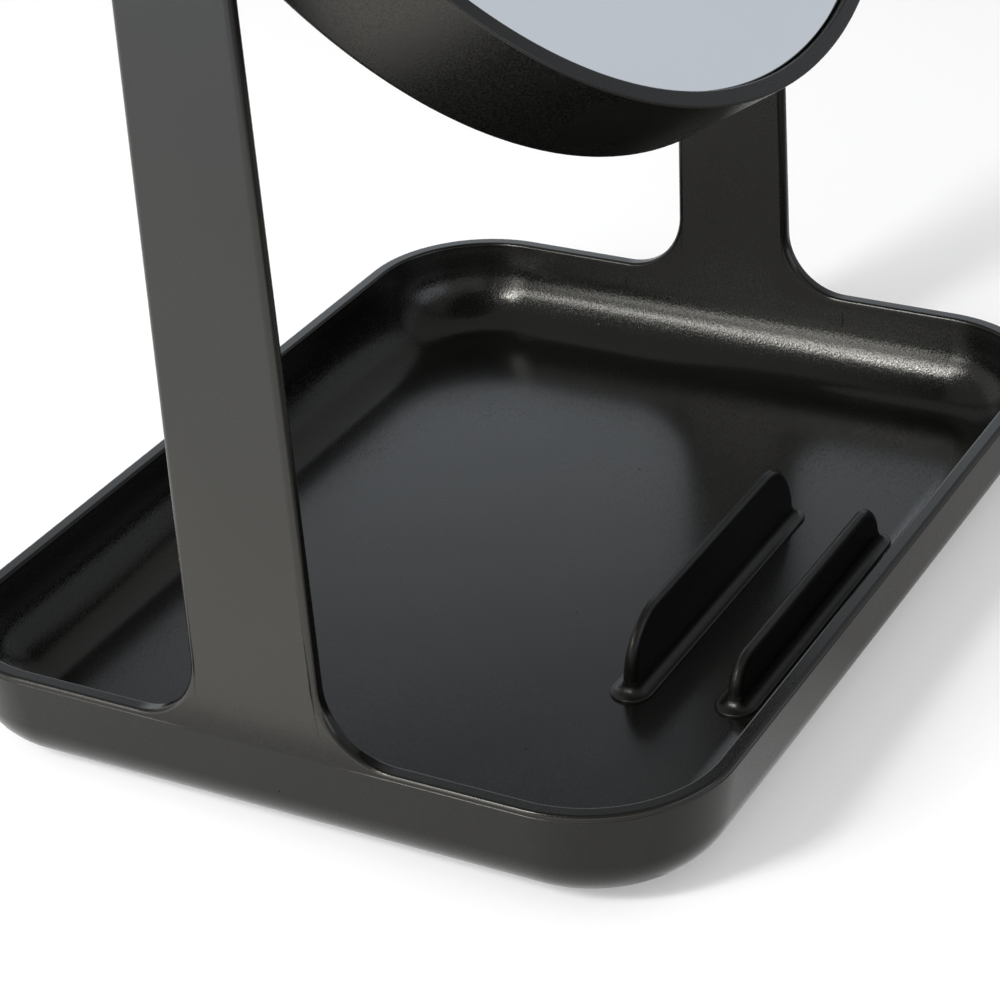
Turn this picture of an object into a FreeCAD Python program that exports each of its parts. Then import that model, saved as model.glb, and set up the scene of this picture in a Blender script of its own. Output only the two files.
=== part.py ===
import FreeCAD, Part
import math
import os

import Sketcher

# Vanity mirror on a low tray: a one-piece moulded tray with two uprights and a slot for a phone,
# and a round mirror that tilts on friction pivots between the tops of the uprights.
# Frame: millimetres, +Z up, X along the pivot axis, -Y to the front. The origin is on the surface
# that the object stands on, under the middle of the tray.

doc = FreeCAD.newDocument("VanityMirror")

# ---------------------------------------------------------------- driving dimensions

driving = {
    # tray, a shell with a mould line just under its rim
    "tray_width": 190.0,
    "tray_depth": 148.0,
    "tray_height": 20.0,
    "plan_corner": 25.5,
    "mould_line_drop": 1.2,
    "wall": 2.9,
    "floor_thick": 2.85,
    "outer_draft": 8.0,
    "outer_bottom_radius": 10.6,
    "floor_cove": 12.5,
    "rim_bevel": 0.75,
    # uprights
    "pivot_height": 183.0,
    "upright_lean": 0.57,
    "upright_end_radius": 10.0,
    "upright_taper": 0.8,
    "root_fillet": 12.5,
    "upright_boss": 17.0,
    "upright_boss_proud": 0.3,
    # two fins that make the phone slot
    "fin_setback": 17.5,
    "fin_spacing": 18.8,
    "rear_fin_length": 70.6,
    "rear_fin_height": 14.6,
    "front_fin_length": 64.6,
    "front_fin_height": 9.9,
    "fin_thick": 3.1,
    "fin_draft": 2.6,
    "fin_bevel": 0.45,
    "fin_foot_margin": 2.4,
    "fin_foot_height": 0.9,
    "fin_foot_bevel": 0.4,
    "fin_root": 1.5,
    "fin_end_straight": 0.4,
    # rubber feet
    "foot_diameter": 12.0,
    "foot_thick": 2.0,
    "foot_stand": 1.0,
    "foot_clearance": 0.2,
    "foot_inset": 23.0,
    "foot_bevel": 0.4,
    # mirror, measured along its own normal from the front of the lip
    "mirror_tilt": 32.5,
    "mirror_depth": 21.0,
    "pivot_setback": 10.9,
    "lip_width": 2.9,
    "lip_bevel": 0.4,
    "glass_recess": 1.4,
    "glass_thick": 3.0,
    "glass_clearance": 0.15,
    "glass_edge": 0.4,
    "tape_thick": 0.8,
    "tape_ring_width": 14.0,
    "tape_ring_margin": 5.0,
    "tape_pad_radius": 24.0,
    "web_thick": 2.0,
    "frame_wall": 2.4,
    "frame_back_bevel": 1.0,
    "rib_thick": 1.8,
    "ring_rib_radius": 45.0,
    "hub_rib_radius": 16.0,
    "cover_thick": 2.2,
    "cover_recess": 0.5,
    "cover_clearance": 0.15,
    "cover_bevel": 0.5,
    # pivots, the same on both sides
    "bush_outer": 8.0,
    "bush_clearance": 0.03,
    "bush_flange": 15.0,
    "bush_flange_thick": 1.0,
    "face_gap": 0.05,
    "shoulder_diameter": 5.0,
    "running_clearance": 0.04,
    "thread_diameter": 4.0,
    "thread_length": 7.0,
    "thread_clearance": 0.03,
    "insert_outer": 6.0,
    "insert_length": 8.0,
    "insert_clearance": 0.02,
    "insert_boss_wall": 1.4,
    "insert_boss_margin": 2.0,
    "pivot_pad": 15.0,
    "pivot_pad_proud": 0.17,
    "washer_outer": 9.0,
    "washer_thick": 0.8,
    "washer_clearance": 0.15,
    "spring_washer_thick": 0.45,
    "spring_washer_rise": 0.35,
    "head_diameter": 9.0,
    "head_height": 2.4,
    "head_chamfer": 0.35,
    "socket_flats": 3.0,
    "socket_depth": 1.5,
    "cap_wall": 1.9,
    "cap_clearance": 0.05,
    "cap_bevel": 0.9,
}

# places and sizes that follow from them
following = {
    "rim_height": "=foot_stand + tray_height",
    "mould_line": "=rim_height - mould_line_drop",
    "floor_height": "=foot_stand + floor_thick",
    "inner_drop": "=(mould_line - floor_height) * tan(upright_lean)",
    "inner_width": "=tray_width - 2 * wall - 2 * inner_drop",
    "inner_depth": "=tray_depth - 2 * wall - 2 * inner_drop",
    "inner_corner": "=plan_corner - wall - inner_drop",
    "front_fin_forward": "=tray_depth / 2 - fin_setback",
    "rear_fin_forward": "=front_fin_forward - fin_spacing",
    "rear_fin_shoulder": "=rear_fin_height - fin_foot_height - fin_root - fin_end_straight",
    "front_fin_shoulder": "=front_fin_height - fin_foot_height - fin_root - fin_end_straight",
    "upright_top": "=pivot_height + upright_end_radius",
    "upright_outer": "=tray_width / 2 + (pivot_height - mould_line) * tan(upright_lean)",
    "boss_outer_face": "=upright_outer + upright_boss_proud",
    "boss_inner_face": "=upright_outer - wall - upright_boss_proud",
    "frame_face": "=boss_inner_face - bush_flange_thick - face_gap",
    "mirror_radius": "=frame_face - pivot_pad_proud",
    "spring_washer_face": "=boss_outer_face + face_gap",
    "flat_washer_face": "=spring_washer_face + spring_washer_thick + spring_washer_rise",
    "head_face": "=flat_washer_face + washer_thick",
    "head_end": "=head_face + head_height",
    "cap_end": "=head_end + cap_clearance + cap_wall",
    "lip_front": "=pivot_setback",
    "glass_front": "=lip_front - glass_recess",
    "glass_back": "=glass_front - glass_thick",
    "web_front": "=glass_back - tape_thick",
    "web_back": "=web_front - web_thick",
    "frame_back": "=lip_front - mirror_depth",
    "cover_back": "=frame_back + cover_recess",
    "cover_front": "=cover_back + cover_thick",
    "opening_radius": "=mirror_radius - lip_width",
    "glass_radius": "=opening_radius - glass_clearance",
    "cavity_radius": "=mirror_radius - frame_wall",
    "insert_boss_radius": "=insert_outer / 2 + insert_boss_wall",
}

sheet = doc.addObject("Spreadsheet::Sheet", "dims")
for row, (alias, content) in enumerate({**driving, **following}.items(), start=1):
    sheet.set(f"A{row}", alias)
    sheet.set(f"B{row}", str(content))
    sheet.setAlias(f"B{row}", alias)
doc.recompute()

# how far a cut runs past the piece that it cuts
overshoot = 10.0
# two measured places this near to each other are the same place
slack = 0.01
foot_across = "(dims.tray_width / 2 - dims.foot_inset)"
foot_along = "(dims.tray_depth / 2 - dims.foot_inset)"
foot_places = {
    "front_left": (f"-{foot_across}", f"-{foot_along}"),
    "front_right": (foot_across, f"-{foot_along}"),
    "rear_left": (f"-{foot_across}", foot_along),
    "rear_right": (foot_across, foot_along),
}
rib_count = 8
quarter_turn = 90
edge_foot_guess = 2
sides = {"left": "-1", "right": "1"}


def number(expression):
    """What an expression of the sheet's cells comes to."""
    value = sheet.evalExpression(expression)
    return float(getattr(value, "Value", value))


# ---------------------------------------------------------------- sketch and feature helpers


def bind(thing, **properties):
    """Bind properties of an object to expressions of the sheet."""
    for name, expression in properties.items():
        thing.setExpression(name.replace("__", "."), expression)


def newBody(label):
    body = doc.addObject("PartDesign::Body", label)
    body.Label = label
    return body


def originOf(body, role):
    """One of the body's own origin planes or axes."""
    return next(feature for feature in body.Origin.OriginFeatures if feature.Role == role)


def newSketch(body, name, plane, offset="0"):
    """A sketch on one of the body's origin planes, moved along the plane's normal."""
    sketch = body.newObject("Sketcher::SketchObject", name)
    sketch.AttachmentSupport = [(originOf(body, plane), "")]
    sketch.MapMode = "FlatFace"
    bind(sketch, AttachmentOffset__Base__z=offset)
    return sketch


def dimension(sketch, expression, kind, *where):
    """Add a dimension to the sketch and bind it to the sheet."""
    value = number(expression)
    if kind == "Angle":
        value = math.radians(value)
    index = sketch.addConstraint(Sketcher.Constraint(kind, *where, value))
    name = f"{kind}{index}"
    sketch.renameConstraint(index, name)
    sketch.setExpression(f"Constraints.{name}", expression)


def placePoint(sketch, curve, point, across, up):
    """Dimension a curve's start (1), end (2) or centre (3) from the sketch's origin."""
    dimension(sketch, across, "DistanceX", -1, 1, curve, point)
    dimension(sketch, up, "DistanceY", -1, 1, curve, point)


def addLine(sketch, start, end):
    points = [FreeCAD.Vector(number(across), number(up), 0) for across, up in (start, end)]
    return sketch.addGeometry(Part.LineSegment(*points), False)


def addArc(sketch, centre, radius, first, last):
    """An arc that runs counterclockwise between two angles in degrees."""
    middle = FreeCAD.Vector(number(centre[0]), number(centre[1]), 0)
    circle = Part.Circle(middle, FreeCAD.Vector(0, 0, 1), number(radius))
    arc = Part.ArcOfCircle(circle, math.radians(first), math.radians(last))
    return sketch.addGeometry(arc, False)


def join(sketch, *links, kind="Coincident"):
    """Join curve ends: each link is first curve, its point, second curve, its point."""
    for link in links:
        sketch.addConstraint(Sketcher.Constraint(kind, *link))


def addOutline(sketch, corners):
    """A closed straight-sided outline with every corner dimensioned from the origin."""
    lines = []
    for start, end in zip(corners, corners[1:] + corners[:1]):
        lines.append(addLine(sketch, start, end))
    for line, following_line in zip(lines, lines[1:] + lines[:1]):
        join(sketch, (line, 2, following_line, 1))
    for line, corner in zip(lines, corners):
        placePoint(sketch, line, 1, *corner)


def addCircle(sketch, diameter, across="0", up="0"):
    middle = FreeCAD.Vector(number(across), number(up), 0)
    circle = Part.Circle(middle, FreeCAD.Vector(0, 0, 1), number(diameter) / 2)
    curve = sketch.addGeometry(circle, False)
    dimension(sketch, diameter, "Diameter", curve)
    placePoint(sketch, curve, 3, across, up)


def addRoundedRectangle(sketch, width, depth, radius, up="0"):
    """A rectangle with tangent corner arcs, centred on the sketch's Y axis at the height up."""
    corners = [("", ""), ("-", ""), ("-", "-"), ("", "-")]
    arcs = []
    for quarter, (across_sign, up_sign) in enumerate(corners):
        across = f"{across_sign}(({width}) / 2 - ({radius}))"
        along = f"{up} + {up_sign}(({depth}) / 2 - ({radius}))"
        start = quarter * quarter_turn
        arc = addArc(sketch, (across, along), radius, start, start + quarter_turn)
        arcs.append((arc, across, along))
    for (arc, _, _), (next_arc, _, _) in zip(arcs, arcs[1:] + arcs[:1]):
        ends = sketch.getPoint(arc, 2), sketch.getPoint(next_arc, 1)
        line = sketch.addGeometry(Part.LineSegment(*ends), False)
        join(sketch, (arc, 2, line, 1), (line, 2, next_arc, 1), kind="Tangent")
    for arc, across, along in arcs:
        placePoint(sketch, arc, 3, across, along)
        dimension(sketch, radius, "Radius", arc)


def addSlot(sketch, length, width, up="0"):
    """Two half-round ends joined by two sides, centred on the sketch's Y axis at the height up."""
    middle = f"(({length}) - ({width})) / 2"
    right = addArc(sketch, (middle, up), f"({width}) / 2", -90, 90)
    left = addArc(sketch, (f"-{middle}", up), f"({width}) / 2", 90, 270)
    for first, second in ((right, left), (left, right)):
        ends = sketch.getPoint(first, 2), sketch.getPoint(second, 1)
        line = sketch.addGeometry(Part.LineSegment(*ends), False)
        join(sketch, (first, 2, line, 1), (line, 2, second, 1), kind="Tangent")
    for arc, across in ((right, middle), (left, f"-{middle}")):
        placePoint(sketch, arc, 3, across, up)
        dimension(sketch, f"({width}) / 2", "Radius", arc)


def addFeature(body, kind, name, profile, **properties):
    """A pad, pocket or revolution of a sketch."""
    feature = body.newObject(f"PartDesign::{kind}", name)
    feature.Profile = profile
    bind(feature, **properties)
    profile.Visibility = False
    doc.recompute()
    return feature


def roundEdges(body, name, radius, test):
    """Fillet every edge of the body's solid, so far, that passes the test."""
    base = body.Tip
    chosen = [f"Edge{i}" for i, edge in enumerate(base.Shape.Edges, start=1) if test(edge)]
    fillet = body.newObject("PartDesign::Fillet", name)
    fillet.Base = (base, chosen)
    bind(fillet, Radius=radius)
    doc.recompute()
    return fillet


def bevelEdges(body, name, size, test):
    """Chamfer every edge of the body's solid, so far, that passes the test."""
    base = body.Tip
    chosen = [f"Edge{i}" for i, edge in enumerate(base.Shape.Edges, start=1) if test(edge)]
    chamfer = body.newObject("PartDesign::Chamfer", name)
    chamfer.Base = (base, chosen)
    bind(chamfer, Size=size)
    doc.recompute()
    return chamfer


def liesAt(value, target):
    return abs(value - target) < slack


def flatAt(edge, height):
    """Whether an edge lies in the level plane at a height."""
    return liesAt(edge.BoundBox.ZMin, height) and liesAt(edge.BoundBox.ZMax, height)


def addAcross(body, kind, name, side, near, far, draw):
    """Pad or cut what draw puts in a sketch, along the pivot axis, between two distances from the middle."""
    start = near if side == "right" else f"-({far})"
    sketch = newSketch(body, f"{name}_{side}_sketch", "YZ_Plane", start)
    draw(sketch)
    feature = addFeature(body, kind, f"{name}_{side}", sketch, Length=f"{far} - ({near})")
    feature.Reversed = kind == "Pocket"
    doc.recompute()


def turnedBody(label, axis, outline):
    """A body turned about its own X or Z axis from an outline in its XZ plane."""
    body = newBody(label)
    sketch = newSketch(body, f"{label}_outline", "XZ_Plane")
    addOutline(sketch, outline)
    turning = body.newObject("PartDesign::Revolution", f"{label}_turning")
    turning.Profile = sketch
    turning.ReferenceAxis = (originOf(body, axis), [""])
    turning.Angle = 360
    sketch.Visibility = False
    doc.recompute()
    return body


def sideOf(side, outline):
    """Mirror an outline along the pivot axis to the left or the right."""
    return [(f"{sides[side]} * ({across})", up) for across, up in outline]


# ---------------------------------------------------------------- tray, uprights and fins


def sideOutline(sketch):
    """What the mould takes off both sides of the uprights, seen along the pivot axis."""
    far = f"dims.tray_depth / 2 + dims.wall + {overshoot}"
    top = f"dims.upright_top + {overshoot}"
    pivot = ("0", "dims.pivot_height")
    root = "dims.root_fillet"
    reach = (
        "dims.upright_end_radius + dims.root_fillet"
        " + (dims.pivot_height - dims.rim_height) * tan(dims.upright_taper)"
    )
    root_height = "dims.rim_height + dims.root_fillet"
    front_rim = addLine(sketch, (f"-({far})", "dims.rim_height"), (f"-({reach})", "dims.rim_height"))
    front_root = addArc(sketch, (f"-({reach})", root_height), root, 270, 360)
    # the edges start from a guess at their foot, and the taper then sets where it is
    guess = f"dims.upright_end_radius + {edge_foot_guess}"
    front_edge = addLine(sketch, (f"-({guess})", root_height), ("-dims.upright_end_radius", pivot[1]))
    end = addArc(sketch, pivot, "dims.upright_end_radius", 0, 180)
    back_edge = addLine(sketch, ("dims.upright_end_radius", pivot[1]), (guess, root_height))
    back_root = addArc(sketch, (reach, root_height), root, 180, 270)
    back_rim = addLine(sketch, (reach, "dims.rim_height"), (far, "dims.rim_height"))
    back_side = addLine(sketch, (far, "dims.rim_height"), (far, top))
    top_side = addLine(sketch, (far, top), (f"-({far})", top))
    front_side = addLine(sketch, (f"-({far})", top), (f"-({far})", "dims.rim_height"))
    join(
        sketch,
        (front_rim, 2, front_root, 1),
        (front_root, 2, front_edge, 1),
        (front_edge, 2, end, 2),
        (end, 1, back_edge, 1),
        (back_edge, 2, back_root, 1),
        (back_root, 2, back_rim, 1),
        kind="Tangent",
    )
    join(
        sketch,
        (back_rim, 2, back_side, 1),
        (back_side, 2, top_side, 1),
        (top_side, 2, front_side, 1),
        (front_side, 2, front_rim, 1),
    )
    for line in (front_rim, back_rim, top_side):
        sketch.addConstraint(Sketcher.Constraint("Horizontal", line))
    for line in (front_side, back_side):
        sketch.addConstraint(Sketcher.Constraint("Vertical", line))
    placePoint(sketch, front_rim, 1, f"-({far})", "dims.rim_height")
    placePoint(sketch, back_rim, 2, far, "dims.rim_height")
    dimension(sketch, top, "DistanceY", -1, 1, top_side, 1)
    placePoint(sketch, end, 3, *pivot)
    dimension(sketch, "dims.upright_end_radius", "Radius", end)
    dimension(sketch, root, "Radius", front_root)
    dimension(sketch, root, "Radius", back_root)
    dimension(sketch, "90 - dims.upright_taper", "Angle", front_edge)
    dimension(sketch, "dims.upright_taper - 90", "Angle", back_edge)


def addFin(body, name):
    """A blade on a low foot, with quarter-round shoulders at both ends."""
    forward = f"-dims.{name}_forward"
    length = f"dims.{name}_length"
    foot_width = "(dims.fin_thick + 2 * dims.fin_foot_margin)"
    foot_length = f"({length} + 2 * dims.fin_foot_margin)"
    foot = newSketch(body, f"{name}_foot_sketch", "XY_Plane", "dims.floor_height")
    addSlot(foot, foot_length, foot_width, forward)
    addFeature(body, "Pad", f"{name}_foot", foot, Length="dims.fin_foot_height")

    blade = newSketch(body, f"{name}_blade_sketch", "YZ_Plane")
    top_height = f"dims.floor_height + dims.{name}_height"
    half = "dims.fin_thick / 2"
    half_top = f"({half} - dims.{name}_height * tan(dims.fin_draft))"
    addOutline(
        blade,
        [
            (f"{forward} - {half}", "dims.floor_height"),
            (f"{forward} + {half}", "dims.floor_height"),
            (f"{forward} + {half_top}", top_height),
            (f"{forward} - {half_top}", top_height),
        ],
    )
    blade_pad = addFeature(body, "Pad", f"{name}_blade", blade, Length=length)
    blade_pad.SideType = "Symmetric"
    doc.recompute()

    top = number(top_height)
    middle = number(forward)
    thick = number("dims.fin_thick")
    foot_top = number("dims.floor_height + dims.fin_foot_height")
    reach = number(foot_length) / 2
    blade_end = number(f"{length} / 2") + slack
    off_middle = thick / 10

    def nearFin(edge):
        box = edge.BoundBox
        inside = abs(box.Center.y - middle) < number(foot_width) / 2 + slack
        return inside and max(abs(box.XMin), abs(box.XMax)) < reach + slack

    def topEnd(edge):
        return nearFin(edge) and flatAt(edge, top) and edge.BoundBox.XLength < slack

    roundEdges(body, f"{name}_shoulders", f"dims.{name}_shoulder", topEnd)

    def bladeEdge(edge):
        box = edge.BoundBox
        clear = box.ZMax > foot_top + slack and abs(box.Center.y - middle) > off_middle
        return nearFin(edge) and clear

    bevelEdges(body, f"{name}_bevel", "dims.fin_bevel", bladeEdge)

    def bladeRoot(edge):
        box = edge.BoundBox
        within = abs(box.Center.y - middle) < thick / 2 and max(abs(box.XMin), abs(box.XMax)) < blade_end
        return flatAt(edge, foot_top) and within

    roundEdges(body, f"{name}_root", "dims.fin_root", bladeRoot)

    half_foot = number(foot_width) / 2

    def footEdge(edge):
        box = edge.BoundBox
        reaches_side = liesAt(box.YMax - middle, half_foot) or liesAt(middle - box.YMin, half_foot)
        return flatAt(edge, foot_top) and nearFin(edge) and reaches_side

    bevelEdges(body, f"{name}_foot_bevel", "dims.fin_foot_bevel", footEdge)


def makeTray():
    body = newBody("tray_base")
    plan = ("dims.tray_width", "dims.tray_depth", "dims.plan_corner")

    # the outside tapers down from the mould line and leans out above it
    mould_line = newSketch(body, "mould_line", "XY_Plane", "dims.mould_line")
    addRoundedRectangle(mould_line, *plan)
    lower = addFeature(
        body, "Pad", "lower_half", mould_line,
        Length="dims.mould_line - dims.foot_stand", TaperAngle="-dims.outer_draft",
    )
    lower.Reversed = True
    doc.recompute()
    upper_line = newSketch(body, "upper_line", "XY_Plane", "dims.mould_line")
    addRoundedRectangle(upper_line, *plan)
    addFeature(
        body, "Pad", "upper_half", upper_line,
        Length=f"dims.upright_top - dims.mould_line + {overshoot}", TaperAngle="dims.upright_lean",
    )

    # the inside is one open hollow with a wide cove round its floor, and the outside follows it
    floor = newSketch(body, "floor_line", "XY_Plane", "dims.floor_height")
    addRoundedRectangle(floor, "dims.inner_width", "dims.inner_depth", "dims.inner_corner")
    hollow = addFeature(
        body, "Pocket", "hollow", floor,
        Length=f"dims.upright_top - dims.floor_height + 2 * {overshoot}", TaperAngle="dims.upright_lean",
    )
    hollow.Reversed = True
    doc.recompute()
    floor_height = number("dims.floor_height")
    roundEdges(body, "cove", "dims.floor_cove", lambda edge: flatAt(edge, floor_height))
    bottom = number("dims.foot_stand")
    roundEdges(body, "bottom_edge", "dims.outer_bottom_radius", lambda edge: flatAt(edge, bottom))

    # everything above the rim goes, apart from the uprights
    side = newSketch(body, "side_view", "YZ_Plane")
    sideOutline(side)
    trim = addFeature(body, "Pocket", "trim", side)
    trim.Type = "ThroughAll"
    trim.SideType = "Symmetric"
    doc.recompute()
    rim_height = number("dims.rim_height")
    # an edge that only crosses the wall is short, and leans with the wall by less than a tenth of a mm
    across_wall = number("dims.wall") * 1.5
    level = 0.1

    def trimmedEdge(edge):
        box = edge.BoundBox
        crosses = box.XLength < across_wall and box.YLength < slack and box.ZLength < level
        return box.ZMin > rim_height - slack and not crosses

    bevelEdges(body, "rim_bevel", "dims.rim_bevel", trimmedEdge)

    # flat bosses square to the pivot axis, with a hole for the bush
    for side in sides:
        addAcross(
            body, "Pad", "boss", side, "dims.boss_inner_face", "dims.boss_outer_face",
            lambda sketch: addCircle(sketch, "dims.upright_boss", up="dims.pivot_height"),
        )
    bore = newSketch(body, "pivot_bore_sketch", "YZ_Plane")
    addCircle(bore, "dims.bush_outer", up="dims.pivot_height")
    pivot_bore = addFeature(body, "Pocket", "pivot_bore", bore)
    pivot_bore.Type = "ThroughAll"
    pivot_bore.SideType = "Symmetric"
    doc.recompute()

    addFin(body, "rear_fin")
    addFin(body, "front_fin")

    recess = newSketch(body, "foot_recess_sketch", "XY_Plane", "dims.foot_stand")
    for across, along in foot_places.values():
        addCircle(recess, "dims.foot_diameter + 2 * dims.foot_clearance", across, along)
    foot_recess = addFeature(
        body, "Pocket", "foot_recess", recess,
        Length="dims.foot_thick - dims.foot_stand",
    )
    foot_recess.Reversed = True
    doc.recompute()
    return body


def makeFoot(name):
    body = turnedBody(
        f"foot_{name}", "Z_Axis",
        [
            ("0", "0"),
            ("dims.foot_diameter / 2", "0"),
            ("dims.foot_diameter / 2", "dims.foot_thick"),
            ("0", "dims.foot_thick"),
        ],
    )
    bevelEdges(body, f"foot_{name}_bevel", "dims.foot_bevel", lambda edge: flatAt(edge, 0))
    across, along = foot_places[name]
    bind(body, Placement__Base__x=across, Placement__Base__y=along)
    return body


# ---------------------------------------------------------------- mirror, about its own normal


def tilt(body):
    """Lay a piece of the mirror, made with its normal up, back onto the pivots."""
    place = "create(<<vector>>; 0; 0; dims.pivot_height)"
    turn = "create(<<rotation>>; create(<<vector>>; 1; 0; 0); 90 - dims.mirror_tilt)"
    bind(body, Placement=f"create(<<placement>>; {place}; {turn})")
    return body


def addRib(body, name, draw):
    """A rib on the back of the web, down to the cover."""
    sketch = newSketch(body, f"{name}_sketch", "XY_Plane", "dims.cover_front")
    draw(sketch)
    return addFeature(body, "Pad", name, sketch, Length="dims.web_back - dims.cover_front")


def makeFrame():
    body = turnedBody(
        "mirror_frame", "Z_Axis",
        [
            ("0", "dims.web_front"),
            ("dims.opening_radius", "dims.web_front"),
            ("dims.opening_radius", "dims.lip_front"),
            ("dims.mirror_radius", "dims.lip_front"),
            ("dims.mirror_radius", "dims.frame_back"),
            ("dims.cavity_radius", "dims.frame_back"),
            ("dims.cavity_radius", "dims.web_back"),
            ("0", "dims.web_back"),
        ],
    )
    lip_front = number("dims.lip_front")
    bevelEdges(body, "lip_bevel", "dims.lip_bevel", lambda edge: flatAt(edge, lip_front))
    frame_back = number("dims.frame_back")
    cavity = number("dims.cavity_radius") + slack
    bevelEdges(
        body, "frame_back_bevel", "dims.frame_back_bevel",
        lambda edge: flatAt(edge, frame_back) and edge.BoundBox.XMax > cavity,
    )

    # ribs that stiffen the web and carry the cover
    for name in ("ring_rib", "hub_rib"):
        radius = f"dims.{name}_radius"

        def drawRing(sketch, radius=radius):
            addCircle(sketch, f"2 * {radius} - dims.rib_thick")
            addCircle(sketch, f"2 * {radius} + dims.rib_thick")

        addRib(body, name, drawRing)
    start = "dims.hub_rib_radius"
    end = "(dims.cavity_radius + dims.frame_wall / 2)"
    half = "dims.rib_thick / 2"
    spoke = addRib(
        body, "spoke_rib",
        lambda sketch: addOutline(
            sketch, [(start, f"-{half}"), (end, f"-{half}"), (end, half), (start, half)]
        ),
    )
    spokes = body.newObject("PartDesign::PolarPattern", "spoke_ribs")
    spokes.Originals = [spoke]
    spokes.Axis = (originOf(body, "Z_Axis"), [""])
    spokes.Angle = 360
    spokes.Occurrences = rib_count
    body.Tip = spokes
    doc.recompute()

    # a boss for each insert, a flat pad outside it for the bush's flange, and the insert's hole
    wall_middle = "dims.cavity_radius + dims.frame_wall / 2"
    insert_start = "dims.frame_face - dims.insert_length"
    boss_start = f"{insert_start} - dims.insert_boss_margin"
    for side in sides:
        addAcross(
            body, "Pad", "insert_boss", side, boss_start, wall_middle,
            lambda sketch: addCircle(sketch, "2 * dims.insert_boss_radius"),
        )
        addAcross(
            body, "Pad", "pivot_pad", side, wall_middle, "dims.frame_face",
            lambda sketch: addCircle(sketch, "dims.pivot_pad"),
        )
        addAcross(
            body, "Pocket", "insert_hole", side, insert_start, "dims.frame_face",
            lambda sketch: addCircle(sketch, "dims.insert_outer + 2 * dims.insert_clearance"),
        )
    return tilt(body)


def makeGlass():
    return tilt(turnedBody(
        "mirror_glass", "Z_Axis",
        [
            ("0", "dims.glass_back"),
            ("dims.glass_radius - dims.glass_edge", "dims.glass_back"),
            ("dims.glass_radius", "dims.glass_back + dims.glass_edge"),
            ("dims.glass_radius", "dims.glass_front - dims.glass_edge"),
            ("dims.glass_radius - dims.glass_edge", "dims.glass_front"),
            ("0", "dims.glass_front"),
        ],
    ))


def makeTape(label, inner, outer):
    return tilt(turnedBody(
        label, "Z_Axis",
        [
            (inner, "dims.web_front"),
            (outer, "dims.web_front"),
            (outer, "dims.glass_back"),
            (inner, "dims.glass_back"),
        ],
    ))


def makeCover():
    radius = "dims.cavity_radius - dims.cover_clearance"
    body = turnedBody(
        "back_cover", "Z_Axis",
        [
            ("0", "dims.cover_back"),
            (radius, "dims.cover_back"),
            (radius, "dims.cover_front"),
            ("0", "dims.cover_front"),
        ],
    )
    back = number("dims.cover_back")
    bevelEdges(body, "cover_bevel", "dims.cover_bevel", lambda edge: flatAt(edge, back))
    return tilt(body)


# ---------------------------------------------------------------- pivots, from the frame outwards

shoulder = "dims.shoulder_diameter / 2"
head = "dims.head_diameter / 2"
washer_hole = f"{shoulder} + dims.washer_clearance"
washer_edge = "dims.washer_outer / 2"


def makeBush(side):
    bore = f"{shoulder} + dims.running_clearance"
    flange_face = "dims.boss_inner_face - dims.bush_flange_thick"
    flange = "dims.bush_flange / 2"
    barrel = "dims.bush_outer / 2 - dims.bush_clearance"
    body = turnedBody(
        f"pivot_bush_{side}", "X_Axis",
        sideOf(side, [
            (flange_face, bore),
            (flange_face, flange),
            ("dims.boss_inner_face", flange),
            ("dims.boss_inner_face", barrel),
            ("dims.boss_outer_face", barrel),
            ("dims.boss_outer_face", bore),
        ]),
    )
    bind(body, Placement__Base__z="dims.pivot_height")
    return body


def makeInsert(side):
    bore = "dims.thread_diameter / 2 + dims.thread_clearance"
    start = "dims.frame_face - dims.insert_length"
    edge = "dims.insert_outer / 2"
    return tilt(turnedBody(
        f"pivot_insert_{side}", "X_Axis",
        sideOf(side, [(start, bore), (start, edge), ("dims.frame_face", edge), ("dims.frame_face", bore)]),
    ))


def makeScrew(side):
    thread = "dims.thread_diameter / 2"
    thread_end = "dims.frame_face - dims.thread_length"
    chamfer = "dims.head_chamfer"
    body = turnedBody(
        f"pivot_screw_{side}", "X_Axis",
        sideOf(side, [
            (thread_end, "0"),
            (thread_end, f"{thread} - {chamfer}"),
            (f"{thread_end} + {chamfer}", thread),
            ("dims.frame_face", thread),
            ("dims.frame_face", shoulder),
            ("dims.head_face", shoulder),
            ("dims.head_face", head),
            (f"dims.head_end - {chamfer}", head),
            ("dims.head_end", f"{head} - {chamfer}"),
            ("dims.head_end", "0"),
        ]),
    )
    corner = "dims.socket_flats / sqrt(3)"
    hexagon = [(f"{corner} * cos({60 * k})", f"{corner} * sin({60 * k})") for k in range(6)]
    addAcross(
        body, "Pocket", "socket", side, "dims.head_end - dims.socket_depth", "dims.head_end",
        lambda sketch: addOutline(sketch, hexagon),
    )
    return tilt(body)


def makeSpringWasher(side):
    crown = "dims.spring_washer_face + dims.spring_washer_rise"
    return tilt(turnedBody(
        f"spring_washer_{side}", "X_Axis",
        sideOf(side, [
            (crown, washer_hole),
            ("dims.spring_washer_face", washer_edge),
            ("dims.spring_washer_face + dims.spring_washer_thick", washer_edge),
            ("dims.flat_washer_face", washer_hole),
        ]),
    ))


def makeFlatWasher(side):
    faces = "dims.flat_washer_face", "dims.head_face"
    return tilt(turnedBody(
        f"flat_washer_{side}", "X_Axis",
        sideOf(side, [
            (faces[0], washer_hole),
            (faces[0], washer_edge),
            (faces[1], washer_edge),
            (faces[1], washer_hole),
        ]),
    ))


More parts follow.
